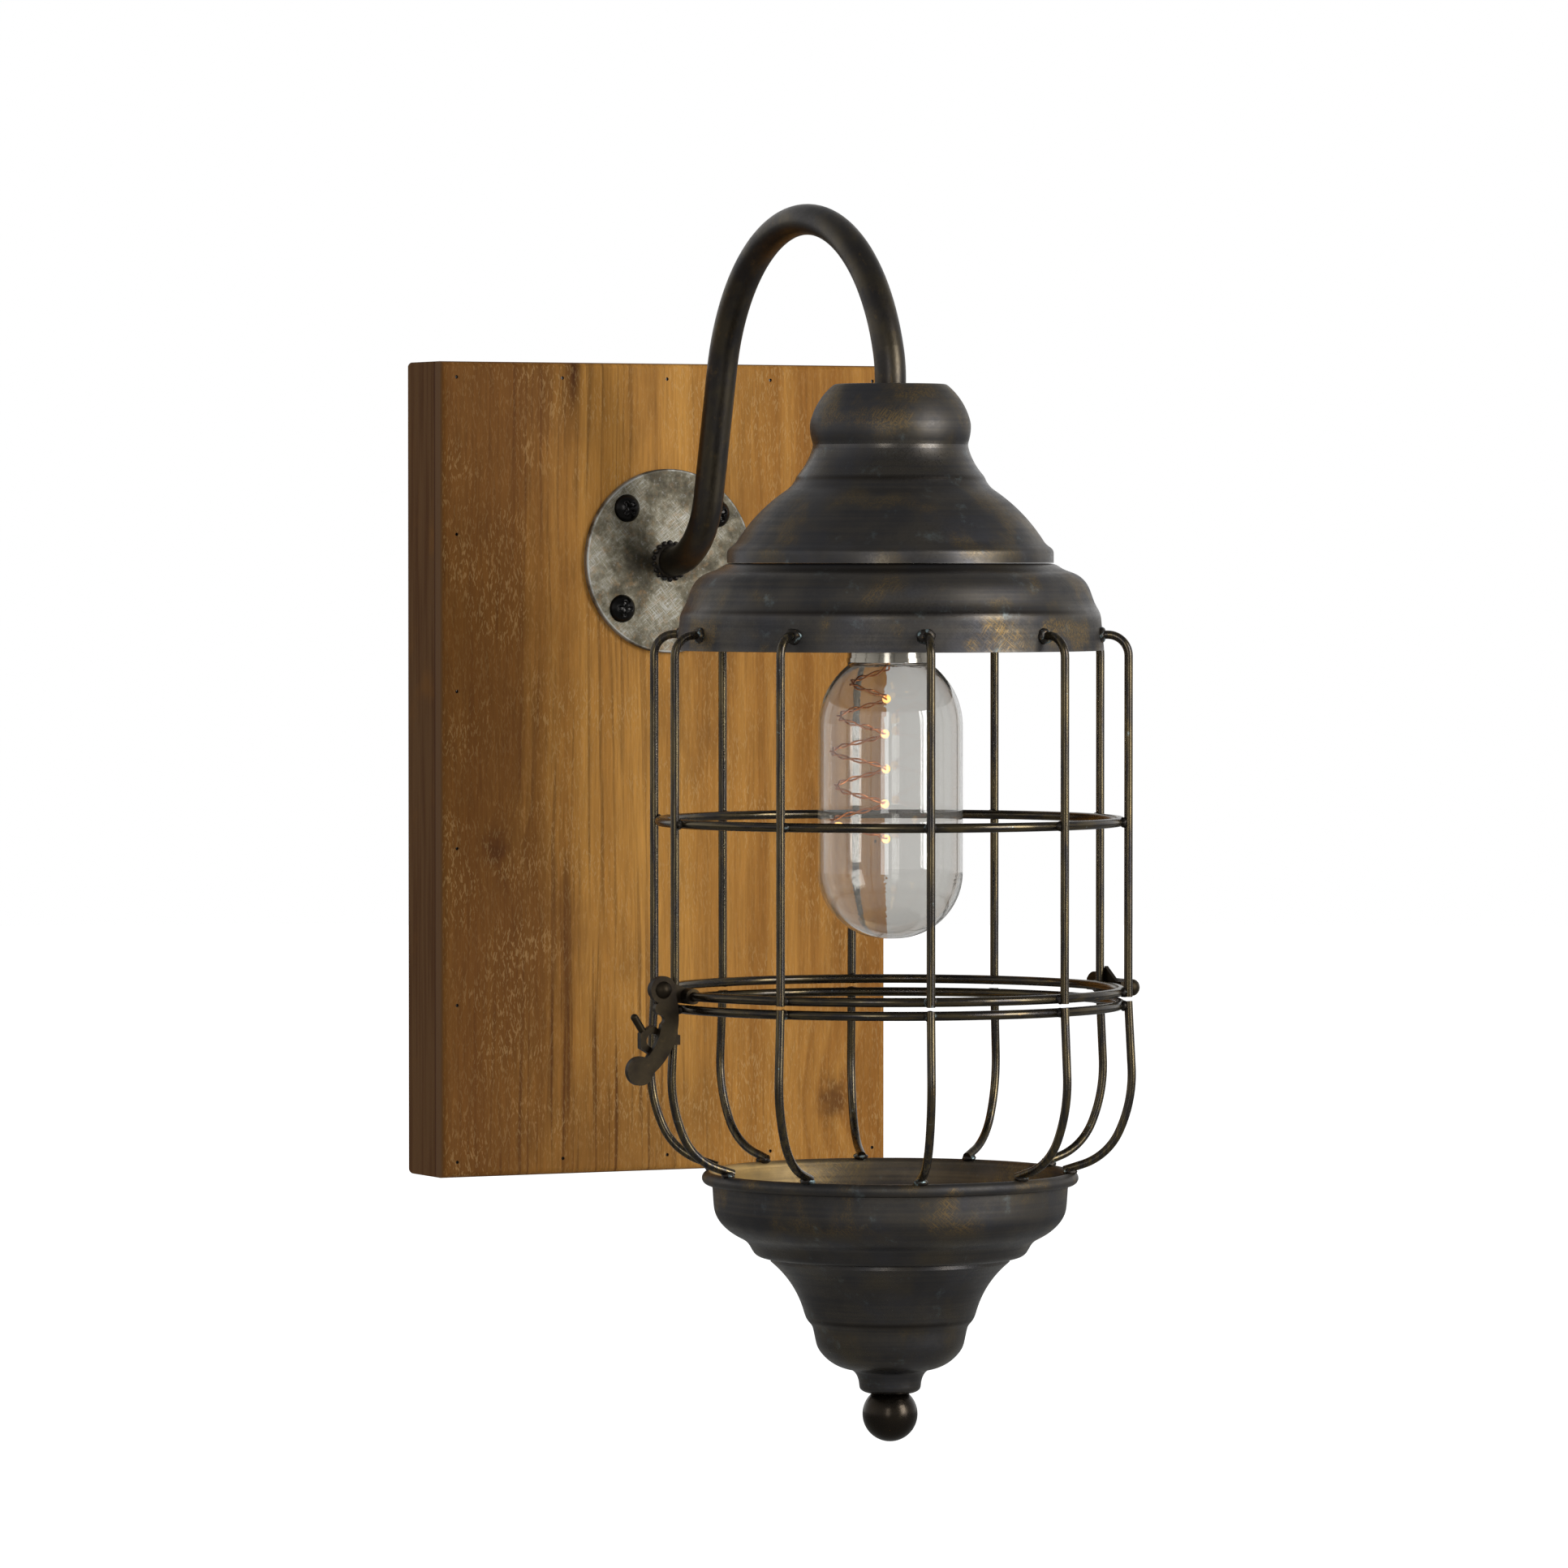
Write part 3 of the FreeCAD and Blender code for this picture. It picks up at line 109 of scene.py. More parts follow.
WIRE_ANGLES = [math.radians(360 / len(UPPER_WIRES) * (index + 0.5)) for index in range(len(UPPER_WIRES))]

# Screws: the flange's circle and its first angle from upright, as in the solid, the hangers' screws,
# shares of the recess and the shank, and the turn of a cross for each metre along x and z
SCREW_CIRCLE = 45.6 * MM / 2
SCREW_TURN = math.radians(48)
SEAT_GAP = 0.1 * MM
FLANGE_SHANK = 2.0 * MM
HANGER_SCREW_INSET = 3.6 * MM
HANGER_HEAD = (2.4 * MM, 1.5 * MM, False)
HANGER_SHANK = (1.2 * MM, 8.4 * MM)
HEAD_RINGS = 14
HEAD_SIDES = 64
RECESS_HEAD = 4.0 * MM
RECESS_ARM = 0.24
RECESS_TAPER = 0.45
SHANK_POINT = 0.85
CROSS_TURN = (90.0, 70.0)

# Beads of braze: places from the rim, the cup's lip and the flange, the beads round the arm's root, and
# the lumps on all of them
RIM_WELD_IN = 0.4 * MM
RIM_WELD_UP = 4.8 * MM
LIP_WELD_IN = 2.2 * MM
LIP_WELD_UP = 0.4 * MM
ROOT_BEADS = 18
ROOT_BEAD = 0.8 * MM
ROOT_BEAD_OUT = 0.3 * MM
LUMP_HEIGHT = 0.22
LUMP_PITCH = 1.6

# Spun sheets: spacing of the outline's points, length that stays still beside an edge, distance at which
# points merge, turn that stays sharp, sides of the round and depth of the cup's rolled lip
SHEET_STEP = 0.8 * MM
SHEET_END = 1.6 * MM
SHEET_MERGE = 0.08 * MM
SHARP_TURN = math.radians(65)
SHEET_SIDES = 144
LIP_ROLL = 4.0 * MM

# Rubbed bands above the hood's rim and the cup's lip: level, half width (mm) and share of bare brass
HOOD_RUBS = ((5.0, 7.0, 0.6), (19.0, 7.0, 0.4), (39.0, 14.0, 0.3), (76.0, 14.0, 0.45))
CUP_RUBS = ((-1.0, 2.5, 0.5), (-9.0, 9.0, 0.5), (-48.0, 5.0, 0.15))

# Lines of painted shade under the spun steps, at levels above the rim and the lip, their half width (mm) and
# share
HOOD_SHADE_LINES = (11.8, 24.6, 52.5)
CUP_SHADE_LINES = (-45.5,)
SHADE_LINE_HALF = 1.3
SHADE_LINE_SHARE = 0.65

# Marks on the board, in mm: knots (x, z, radius), middles and half widths, half width of the joint's line
# and, for what comes on slowly, where it starts and where it is full
KNOTS = ((-60.8, -123.0, 6.0), (59.9, -206.8, 7.5))
# Middle and half width of the front's lighter middle
LIGHTER_MIDDLE = (-6.0, 62.0)
STRIPED = (-28.0, 62.0)
SPLIT_ACROSS = (-27.0, 3.5)
SPLIT_UP = (30.0, 26.0)
JOINT_HALF = 0.9
# Where the front turns a deeper brown towards the left side and towards the foot
LEFT_DARKER = (-5.0, -50.0)
FOOT_DARKER = (-165.0, -215.0)
FOOT_ACROSS = (35.0, 0.0)
STRIPES_DEEPEN = (-135.0, -195.0)

# Studio, in metres: soft boxes, floor, and the stretches over which the floor whitens and the backdrop and
# the poles come on
KEY_PLACE, KEY_SIZE = Vector((1.2, -2.0, 0.42)), (0.9, 1.3)
FILL_PLACE, FILL_SIZE = Vector((-1.85, -2.7, 0.42)), (0.7, 1.6)
LAMP_TARGET = Vector((0, -0.1, -0.1))
FLOOR_RADIUS = 7.0
FLOOR_DROP = 0.16
FLOOR_IN_GLASS = 0.38
FLOOR_IN_METAL = 0.05
FLOOR_WHITENS = (0.3, 1.6)
FLOOR_WHITE = (0.6, 0.86)
BACKDROP_FROM = (-0.95, 0.45)
POLES_FROM = (0.2, 0.8)

# Settings that many shader nodes share
SMOOTH = {"interpolation_type": "SMOOTHSTEP"}
COLOURS = {"data_type": "RGBA"}
NUMBERS = {"data_type": "FLOAT"}
TIMES = {"operation": "MULTIPLY"}
TIMES_PLUS = {"operation": "MULTIPLY_ADD"}


def linear(hex_colour):
    """Linear RGBA of an sRGB hex colour."""
    shares = [int(hex_colour[start:start + 2], 16) / 255 for start in (1, 3, 5)]
    curve = [s / 12.92 if s <= 0.04045 else ((s + 0.055) / 1.055) ** 2.4 for s in shares]
    return (*curve, 1.0)


def finish_colour(name, description, hex_colour):
    """Colour that a user can change, with its default as an sRGB hex value."""
    return FloatVectorProperty(name=name, description=description, subtype="COLOR", size=4, min=0, max=1,
                               default=linear(hex_colour))


def finish_length(name, description, default, least):
    """Length that a user can change, in metres."""
    return FloatProperty(name=name, description=description, subtype="DISTANCE", min=least, default=default)


def finish_level(name, description, default, subtype="NONE"):
    """Strength that a user can change, with 0 for none."""
    return FloatProperty(name=name, description=description, subtype=subtype, min=0, default=default)


class BrassFinish(bpy.types.PropertyGroup):
    """Blackened brass of the arm, hood, cage and cup"""

    black: finish_colour("Black", "Deepest tone of the blackened brass", "#434243")
    brown: finish_colour("Brown", "Tone where the black is rubbed thin", "#58534c")
    steel: finish_colour("Steel", "Blue-black where the bath has bitten deepest", "#4a4b51")
    bronze: finish_colour("Bronze", "Warm haze where the black is nearly rubbed away", "#6e603f")
    # Soot also colours the lines of painted shade under the hood's and cup's steps
    soot: finish_colour("Soot", "Brown-black of the arm, the wires, the latch and the grooves", "#29231d")
    brass: finish_colour("Brass", "Bare brass on rubbed edges", "#957847")
    # Gilt is the bright brass inside the cup and also the colour of its painted reflection at the left
    gilt_and_reflection: finish_colour("Gilt", "Bright brass inside the cup", "#d2b174")
    verdigris: finish_colour("Verdigris", "Blue-green bloom round the welds", "#a2b8bc")
    spin_line: finish_length("Turning lines", "Spacing of the lines left by spinning", 1.1 * MM,
                             least=0.1 * MM)
    spin_length: finish_length("Turning length", "Length of a line left by spinning", 90 * MM, least=MM)
    cloud: finish_length("Clouding", "Size of the patches left by the blackening bath", 19 * MM, least=MM)


class BoardFinish(bpy.types.PropertyGroup):
    """Stained pine of the board"""

    honey: finish_colour("Honey", "Light wood between the grain lines", "#bc8841")
    stain: finish_colour("Stain", "Middle tone of the stained front", "#895922")
    umber: finish_colour("Umber", "Dark grain lines and dark patches", "#4d2b10")
    # Deeper brown that the front takes on towards the left side and the foot
    darker_left_and_foot: finish_colour("Aged", "Deep brown towards the left and the foot of the front", "#69421a")
    side: finish_colour("Side", "Brown of the frame's sides", "#694a2c")
    fleck: finish_colour("Fleck", "Pale flecks where the stain has not taken", "#c4a06a")
    grain: finish_length("Grain width", "Width of the broad grain stripes", 9 * MM, least=MM)


class FittingFinish(bpy.types.PropertyGroup):
    """Wall flange, screws, hangers and welds"""

    pewter: finish_colour("Pewter", "Light tone of the flange", "#736d5c")
    soot: finish_colour("Soot", "Dark clouds on the flange", "#35312a")
    scuff: finish_colour("Scuff", "Coppery scuffs on the flange", "#8a6c48")
    oxide: finish_colour("Oxide", "Black oxide of the screws", "#2b2a29")
    zinc: finish_colour("Zinc", "Zinc plate of the hangers", "#b3b4b1")
    recess: finish_length("Recess", "Reach of the cross recess in a head of 8 mm", 2.2 * MM, least=0.5 * MM)
    recess_depth: finish_length("Recess depth", "Depth of that recess", 1.3 * MM, least=0.2 * MM)
    weld: finish_length("Weld size", "Half width of a weld on the cage", 1.9 * MM, least=0.5 * MM)


class BulbFinish(bpy.types.PropertyGroup):
    """Bulb, collar and fairy lights"""

    nickel: finish_colour("Nickel", "Plated collar and barrel", "#aea89c")
    fibre: finish_colour("Fibre", "Pressed fibre of the contact disc and the plug", "#4a3526")
    sleeve: finish_colour("Sleeve", "Plastic sleeve of the cells", "#3a3c40")
    glass: finish_colour("Glass", "Smoky tint of the bulb", "#efeeeb")
    copper: finish_colour("Copper", "Fairy-light wire", "#d98c58")
    core: finish_colour("Core", "Light in the middle of a drop", "#ffdc96")
    amber: finish_colour("Amber", "Light at the edge of a drop", "#ffb347")
    glow: finish_level("Glow", "Strength of the drops' light", 1.6)
    strand: finish_length("Strand", "Diameter of one strand of the wire pair", 0.58 * MM, least=0.1 * MM)
    twist: finish_length("Twist", "Length of one twist of the wire pair", 11 * MM, least=MM)


class StageSettings(bpy.types.PropertyGroup):
    """Camera and studio light"""

    turn: FloatProperty(name="Turn", description="Camera's angle to the left of the board's front",
                        subtype="ANGLE", default=math.radians(26.708))
    fall: FloatProperty(name="Fall", description="Angle by which the camera looks down",
                        subtype="ANGLE", default=math.radians(1.577))
    distance: finish_length("Distance", "Camera's distance from its target", 2.6165, least=0.1)
    target: FloatVectorProperty(name="Target", description="Point that the camera is turned to",
                                subtype="TRANSLATION", size=3, default=(0, -0.1036, -0.1015))
    lens: FloatProperty(name="Lens", description="Focal length for a 36 mm sensor, in millimetres",
                        min=1, default=191.2)
    framing: IntProperty(name="Framing", description="Photograph's pixels from the target to its middle",
                         subtype="PIXEL", default=15)
    room_level: finish_level("Room level", "Plain light from all round", 0.42)
    front_level: finish_level("Front level", "Studio that metal mirrors on the camera's side", 0.40)
    back_level: finish_level("Back level", "Backdrop that metal mirrors", 0.84)
    glass_level: finish_level("Glass level", "Backdrop that is seen through the bulb", 0.63)
    pole_level: finish_level("Pole level", "Share of that brightness overhead and below", 0.36)
    floor: finish_colour("Floor", "Floor that lights the lantern from below", "#d8d8d6")
    floor_in_metal: finish_colour("Floor in metal", "Floor that metal mirrors", "#9a9a98")
    key: finish_level("Key", "Power of the soft box at the right", 34, subtype="POWER")
    fill: finish_level("Fill", "Power of the soft box near the camera", 12, subtype="POWER")


def add(tree, kind, settings=None, inputs=None, out=None):
    """Adds a shader node with its settings and links, and returns one of its outputs."""
    made = tree.nodes.new("ShaderNode" + kind)
    for name, value in (settings or {}).items():
        setattr(made, name, value)
    for name, value in (inputs or {}).items():
        if isinstance(value, bpy.types.NodeSocket):
            tree.links.new(value, made.inputs[name])
        else:
            made.inputs[name].default_value = value
    if out is not None:
        return made.outputs[out]
    return next((socket for socket in made.outputs if socket.enabled), made)


def new_material(name):
    """Empty node material and its tree."""
    material = bpy.data.materials.new(name)
    material.use_nodes = True
    material.node_tree.nodes.clear()
    return material, material.node_tree


def millimetres(tree):
    """Place on a piece in millimetres."""
    metres = add(tree, "TexCoord", out="Object")
    return add(tree, "VectorMath", {"operation": "SCALE"}, {0: metres, "Scale": 1 / MM})


def surfaced(material, height, strength, depth, inputs):
    """Gives a material a surface with these inputs and a relief, and returns it; depth is in mm."""
    tree = material.node_tree
    relief = add(tree, "Bump", {}, {"Strength": strength, "Distance": depth * MM, "Height": height})
    shader = add(tree, "BsdfPrincipled", {}, {"Normal": relief, **inputs})
    add(tree, "OutputMaterial", {}, {"Surface": shader})
    return material


def patches(tree, place, sizes, detail, roughness=0.5, shift=(0, 0, 0)):
    """Noise whose patches have these sizes in mm along x, y and z."""
    drawn = add(tree, "Mapping", {}, {
        "Vector": place, "Scale": [1 / size for size in sizes], "Location": shift})
    return add(tree, "TexNoise", {}, {
        "Vector": drawn, "Scale": 1.0, "Detail": detail, "Roughness": roughness})


def laid(tree, tone, colour, share, mask):
    """Lays a colour on a tone by a share within a mask."""
    masked = add(tree, "Math", TIMES, {0: share, 1: mask})
    return add(tree, "Mix", COLOURS, {0: masked, 6: tone, 7: colour})


def tinted(tree, tone, colour, pattern, start, full, most=1.0, mask=1.0):
    """Lays a colour on a tone where a pattern goes from its start to its full value, by a share at most."""
    share = add(tree, "MapRange", SMOOTH, {
        "Value": pattern, "From Min": start, "From Max": full, "To Max": most})
    return laid(tree, tone, colour, share, mask)


def bell(tree, value, centre, half, flat=0.0, most=1.0):
    """Share that is at its most near a place and falls to 0 at a distance from it."""
    off = add(tree, "Math", {"operation": "SUBTRACT"}, {0: value, 1: centre})
    away = add(tree, "Math", {"operation": "ABSOLUTE"}, {0: off})
    return add(tree, "MapRange", SMOOTH, {
        "Value": away, "From Min": flat, "From Max": half, "To Min": most, "To Max": 0.0})


def distance_in(tree, place, middle, shares):
    """Distance from a middle in mm, with each axis counted by its share."""
    off = add(tree, "VectorMath", {"operation": "SUBTRACT"}, {0: place, 1: middle})
    flat = add(tree, "VectorMath", TIMES, {0: off, 1: shares})
    return add(tree, "VectorMath", {"operation": "LENGTH"}, {0: flat}, out="Value")


def scratches(tree, place, size, slants):
    """Share of fine crossing scratches; size is one scratch in mm and slants its leans in degrees."""
    lines = 0.0
    for slant in slants:
        turned = add(tree, "Mapping", {"vector_type": "TEXTURE"}, {
            "Vector": place, "Rotation": (0.0, math.radians(slant), 0.0), "Scale": size})
        stroke = add(tree, "TexNoise", {}, {"Vector": turned, "Scale": 1.0, "Detail": 2.0})
        lines = add(tree, "Math", {"operation": "MAXIMUM"}, {0: lines, 1: stroke})
    return add(tree, "MapRange", SMOOTH, {"Value": lines, "From Min": 0.48, "From Max": 0.68})


def coat(names, material):
    """Gives CAD nodes a material."""
    for name in names:
        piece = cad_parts[name]
        if not piece.material_slots:
            piece.data.materials.append(material)
        for slot in piece.material_slots:
            slot.material = material


def piece_from(bm, name, material, body):
    """Turns a bmesh into a smooth piece that rides on a body."""
    bmesh.ops.recalc_face_normals(bm, faces=bm.faces)
    for face in bm.faces:
        face.smooth = True
    mesh = bpy.data.meshes.new(name)
    bm.to_mesh(mesh)
    bm.free()
    piece = bpy.data.objects.new(name, mesh)
    bpy.context.scene.collection.objects.link(piece)
    piece.data.materials.append(material)
    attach(piece, body)
    return piece


def brass_tone(tree, place, look, lines):
    """Streaks, wear and colour shared by all blackened brass; lines are the streaks' sizes in mm."""
    streak = patches(tree, place, lines, 4.0)
    wide = look.cloud / MM
    cloud = patches(tree, place, [wide] * 3, 5.0, roughness=0.6)
    both = add(tree, "Mix", NUMBERS, {0: 0.36, 2: cloud, 3: streak})
    worn = add(tree, "MapRange", SMOOTH, {"Value": both, "From Min": 0.34, "From Max": 0.68})
    tone = add(tree, "Mix", COLOURS, {0: worn, 6: look.black, 7: look.brown})
    bath = patches(tree, place, [wide] * 3, 3.0, shift=(31 / wide, 17 / wide, 53 / wide))
    tone = tinted(tree, tone, look.steel, bath, start=0.48, full=0.68, most=0.5)
    return streak, worn, tone


def brass_surface(material, place, tone, worn, streak, bump, gloss):
    """Satin metal, glossier where it is worn and in fine scratches, with a relief from the streaks."""
    tree = material.node_tree
    rough = add(tree, "Math", TIMES_PLUS, {0: worn, 1: -0.1, 2: gloss + 0.1})
    strokes = scratches(tree, place, (0.4, 0.4, 2.4), (40, -55))
    rough = add(tree, "Math", TIMES_PLUS, {0: strokes, 1: -0.09, 2: rough})
    return surfaced(material, streak, bump, 0.1, {"Base Color": tone, "Metallic": 0.94, "Roughness": rough})


def inside_brass_and_reflection(tree, place, worn, most):
    """Share of bright brass inside a spun sheet, in patches, with a painted reflection that makes it
    strongest at the left.
    """
    facing = add(tree, "TexCoord", out="Normal")
    centred = add(tree, "VectorMath", {"operation": "SUBTRACT"}, {
        0: place, 1: (AXIS_X / MM, AXIS_Y / MM, 0.0)})
    level_only = add(tree, "VectorMath", TIMES, {0: centred, 1: (1.0, 1.0, 0.0)})
    outward = add(tree, "VectorMath", {"operation": "NORMALIZE"}, {0: level_only})
    side = add(tree, "VectorMath", {"operation": "DOT_PRODUCT"}, {0: facing, 1: outward}, out="Value")
    inside = add(tree, "MapRange", {}, {"Value": side, "From Min": 0.05, "From Max": -0.15, "To Max": most})
    across = add(tree, "SeparateXYZ", {}, {0: place}, out="X")
    # Painted reflection: the inside grows brighter towards the left
    reflection_leftward = add(tree, "MapRange", SMOOTH, {
        "Value": across, "From Min": 15.0, "From Max": -42.0, "To Min": 0.12, "To Max": 2.0})
    inside = add(tree, "Math", TIMES, {0: inside, 1: reflection_leftward})
    patchy = add(tree, "MapRange", {}, {"Value": worn, "To Min": 0.45})
    return add(tree, "Math", {"operation": "MULTIPLY", "use_clamp": True}, {0: inside, 1: patchy})


def spun_brass(name, look, datum, rubs, shade_lines, inside_brass_and_reflection_share):
    """Spun brass sheet, blackened and waxed: a dark satin metal with level turning lines.

    The eye sees black-brown with blue-black clouds, brass in fine scratches on the rubbed bands, lines of
    painted shade under the steps and, inside, bright brass with a painted reflection strongest at the left.
    Bands and shade lines are levels above the datum in mm.
    """
    material, tree = new_material(name)
    place = millimetres(tree)
    length = look.spin_length / MM
    streak, worn, tone = brass_tone(tree, place, look, (length, length, look.spin_line / MM))
    height = add(tree, "SeparateXYZ", {}, {0: place}, out="Z")
    patch = patches(tree, place, [15] * 3, 3.0)
    tone = tinted(tree, tone, look.bronze, patch, start=0.46, full=0.72, most=0.26)
    spread = add(tree, "MapRange", SMOOTH, {"Value": patch, "From Min": 0.50, "From Max": 0.64})
    strokes = scratches(tree, place, (0.35, 0.35, 5.0), (38, -50))
    rubbed = add(tree, "Math", TIMES, {0: spread, 1: strokes})
    dulled = worn
    for level, half, most in rubs:
        near = bell(tree, height, datum / MM + level, half, flat=0.4 * half, most=most)
        tone = laid(tree, tone, look.brass, near, rubbed)
        dulled = add(tree, "Math", TIMES_PLUS, {0: near, 1: -4.0, 2: dulled})
    # Painted shade: dark lines under the spun steps, where shade falls
    for level in shade_lines:
        line = bell(tree, height, datum / MM + level, SHADE_LINE_HALF, most=SHADE_LINE_SHARE)
        tone = add(tree, "Mix", COLOURS, {0: line, 6: tone, 7: look.soot})
    bloom = patches(tree, place, [9] * 3, 8.0, roughness=0.7)
    tone = tinted(tree, tone, look.verdigris, bloom, start=0.58, full=0.76, most=0.22)
    # Bright brass inside, with a painted reflection strongest at the left
    inside = inside_brass_and_reflection(tree, place, worn, inside_brass_and_reflection_share)
    tone = add(tree, "Mix", COLOURS, {0: inside, 6: tone, 7: look.gilt_and_reflection})
    return brass_surface(material, place, tone, dulled, streak, bump=0.12, gloss=0.31)


def drawn_brass(name, look, lines, rub, soot, bloom, bump, gloss):
    """Drawn brass rod, blackened: dark satin, with long worn scratches along it where bare brass shows.

    The shares are those of bare brass, of brown-black over the whole and of pale blue specks.
    """
    material, tree = new_material(name)
    place = millimetres(tree)
    streak, worn, tone = brass_tone(tree, place, look, lines)
    tone = add(tree, "Mix", COLOURS, {0: soot, 6: tone, 7: look.soot})
    tone = tinted(tree, tone, look.bronze, streak, start=0.38, full=0.62, most=rub)
    scratch = patches(tree, place, [size / 2 for size in lines], 6.0, roughness=0.65, shift=(7, 3, 5))
    tone = tinted(tree, tone, look.brass, scratch, start=0.56, full=0.74, most=rub)
    specks = patches(tree, place, [1.8] * 3, 3.0)
    tone = tinted(tree, tone, look.verdigris, specks, start=0.68, full=0.78, most=bloom)
    return brass_surface(material, place, tone, worn, streak, bump, gloss)


def weld_metal(name, look, bloom):
    """Brazed joint: lumpy blackened filler with a pale blue bloom in its hollows and bare brass on top."""
    material, tree = new_material(name)
    place = millimetres(tree)
    streak, worn, tone = brass_tone(tree, place, look, (1.2, 1.2, 1.2))
    tone = add(tree, "Mix", COLOURS, {0: 0.6, 6: tone, 7: look.soot})
    patch = patches(tree, place, [2.2] * 3, 4.0)
    tone = tinted(tree, tone, look.verdigris, patch, start=0.55, full=0.68, most=bloom)
    tone = tinted(tree, tone, look.brass, streak, start=0.60, full=0.74, most=0.7)
    return brass_surface(material, place, tone, worn, streak, bump=0.6, gloss=0.4)


def wood_knot(tree, place, x, z, radius):
    """Darkness of a knot and its push on the grain lines, in mm."""
    away = distance_in(tree, place, (x, 0.0, z), (1.0, 0.0, 0.8))
    ripple = patches(tree, place, [4] * 3, 4.0)
    rough = add(tree, "Math", TIMES_PLUS, {0: ripple, 1: radius, 2: away})
    dark = add(tree, "MapRange", SMOOTH, {
        "Value": rough, "From Min": radius * 0.5, "From Max": radius * 1.6, "To Min": 0.8, "To Max": 0.0})
    push = add(tree, "MapRange", SMOOTH, {
        "Value": away, "From Max": radius * 3, "To Min": radius, "To Max": 0.0})
    return dark, push


def joint_line(tree, place, tone, look, share):
    """Dark line on the board's sides where the front panel lies on the frame."""
    inward = add(tree, "SeparateXYZ", {}, {0: place}, out="Y")
    joint = bell(tree, inward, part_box("front_panel")[1].y / MM, JOINT_HALF)
    return laid(tree, tone, look.umber, joint, share)


def stained_sides(tree, place, tone, look):
    """Gives the panel's narrow sides the frame's brown, with the joint line at their back."""
    facing = add(tree, "TexCoord", out="Normal")
    front = add(tree, "SeparateXYZ", {}, {0: facing}, out="Y")
    flat = add(tree, "Math", {"operation": "ABSOLUTE"}, {0: front})
    narrow = add(tree, "MapRange", SMOOTH, {"Value": flat, "From Min": 0.75, "From Max": 0.25})
    tone = add(tree, "Mix", COLOURS, {0: narrow, 6: tone, 7: look.side})
    return joint_line(tree, place, tone, look, narrow)


def grain_lines(tree, place, across):
    """Place across the board, swayed and pushed round the knots, and the knots' darkness."""
    sway = patches(tree, place, (45, 45, 260), 2.0)
    line = add(tree, "Math", TIMES_PLUS, {0: sway, 1: 14.0, 2: across})
    knots = 0.0
    for knot in KNOTS:
        dark, push = wood_knot(tree, place, *knot)
        line = add(tree, "Math", {"operation": "ADD"}, {0: line, 1: push})
        knots = add(tree, "Math", {"operation": "MAXIMUM"}, {0: knots, 1: dark})
    return line, knots


def wood_tone(tree, look, cloud, broad, across, upward):
    """Honey and stain by the grain, with a lighter middle, dark clouds, and a deeper brown towards the left
    side and the foot.
    """
    light = add(tree, "MapRange", SMOOTH, {"Value": broad, "From Min": 0.36, "From Max": 0.66})
    lighter_middle = bell(tree, across, *LIGHTER_MIDDLE)
    bright = add(tree, "Math", TIMES_PLUS, {0: lighter_middle, 1: 0.45, 2: -0.12})
    light = add(tree, "Math", TIMES_PLUS, {0: light, 1: 0.5, 2: bright})
    light = add(tree, "Math", {"operation": "MULTIPLY_ADD", "use_clamp": True}, {0: cloud, 1: 0.3, 2: light})
    tone = add(tree, "Mix", COLOURS, {0: light, 6: look.stain, 7: look.honey})
    tone = tinted(tree, tone, look.umber, cloud, start=0.52, full=0.30, most=0.35)
    edge_at = add(tree, "Math", TIMES_PLUS, {0: cloud, 1: 30.0, 2: across})
    left = add(tree, "MapRange", SMOOTH, {
        "Value": edge_at, "From Min": LEFT_DARKER[0], "From Max": LEFT_DARKER[1], "To Max": 0.85})
    foot = add(tree, "MapRange", SMOOTH, {
        "Value": upward, "From Min": FOOT_DARKER[0], "From Max": FOOT_DARKER[1], "To Max": 0.55})
    middle = add(tree, "MapRange", SMOOTH, {
        "Value": edge_at, "From Min": FOOT_ACROSS[0], "From Max": FOOT_ACROSS[1]})
    foot = add(tree, "Math", TIMES, {0: foot, 1: middle})
    darker_left_and_foot = add(tree, "Math", {"operation": "MAXIMUM"}, {0: left, 1: foot})
    return add(tree, "Mix", COLOURS, {0: darker_left_and_foot, 6: tone, 7: look.darker_left_and_foot})


def dark_stripes(tree, look, tone, grain_at, across, upward):
    """Fine dark grain stripes, strongest in the lower left part."""
    fine = patches(tree, grain_at, [2.2] * 3, 2.0)
    low_part = add(tree, "MapRange", SMOOTH, {
        "Value": upward, "From Min": STRIPES_DEEPEN[0], "From Max": STRIPES_DEEPEN[1],
        "To Min": 0.5, "To Max": 0.9})
    strength = add(tree, "Math", TIMES, {0: low_part, 1: bell(tree, across, *STRIPED)})
    return tinted(tree, tone, look.umber, fine, start=0.50, full=0.66, mask=strength)


def pale_flecks(tree, look, tone, place):
    """Crowds of short pale flecks along the grain where the stain has not taken."""
    spot = scratches(tree, place, (0.6, 0.6, 2.6), (13, -12))
    where = patches(tree, place, [24] * 3, 3.0)
    crowd = add(tree, "MapRange", SMOOTH, {
        "Value": where, "From Min": 0.38, "From Max": 0.66, "To Min": 0.25})
    return tinted(tree, tone, look.fleck, spot, start=0.55, full=1.0, most=0.32, mask=crowd)


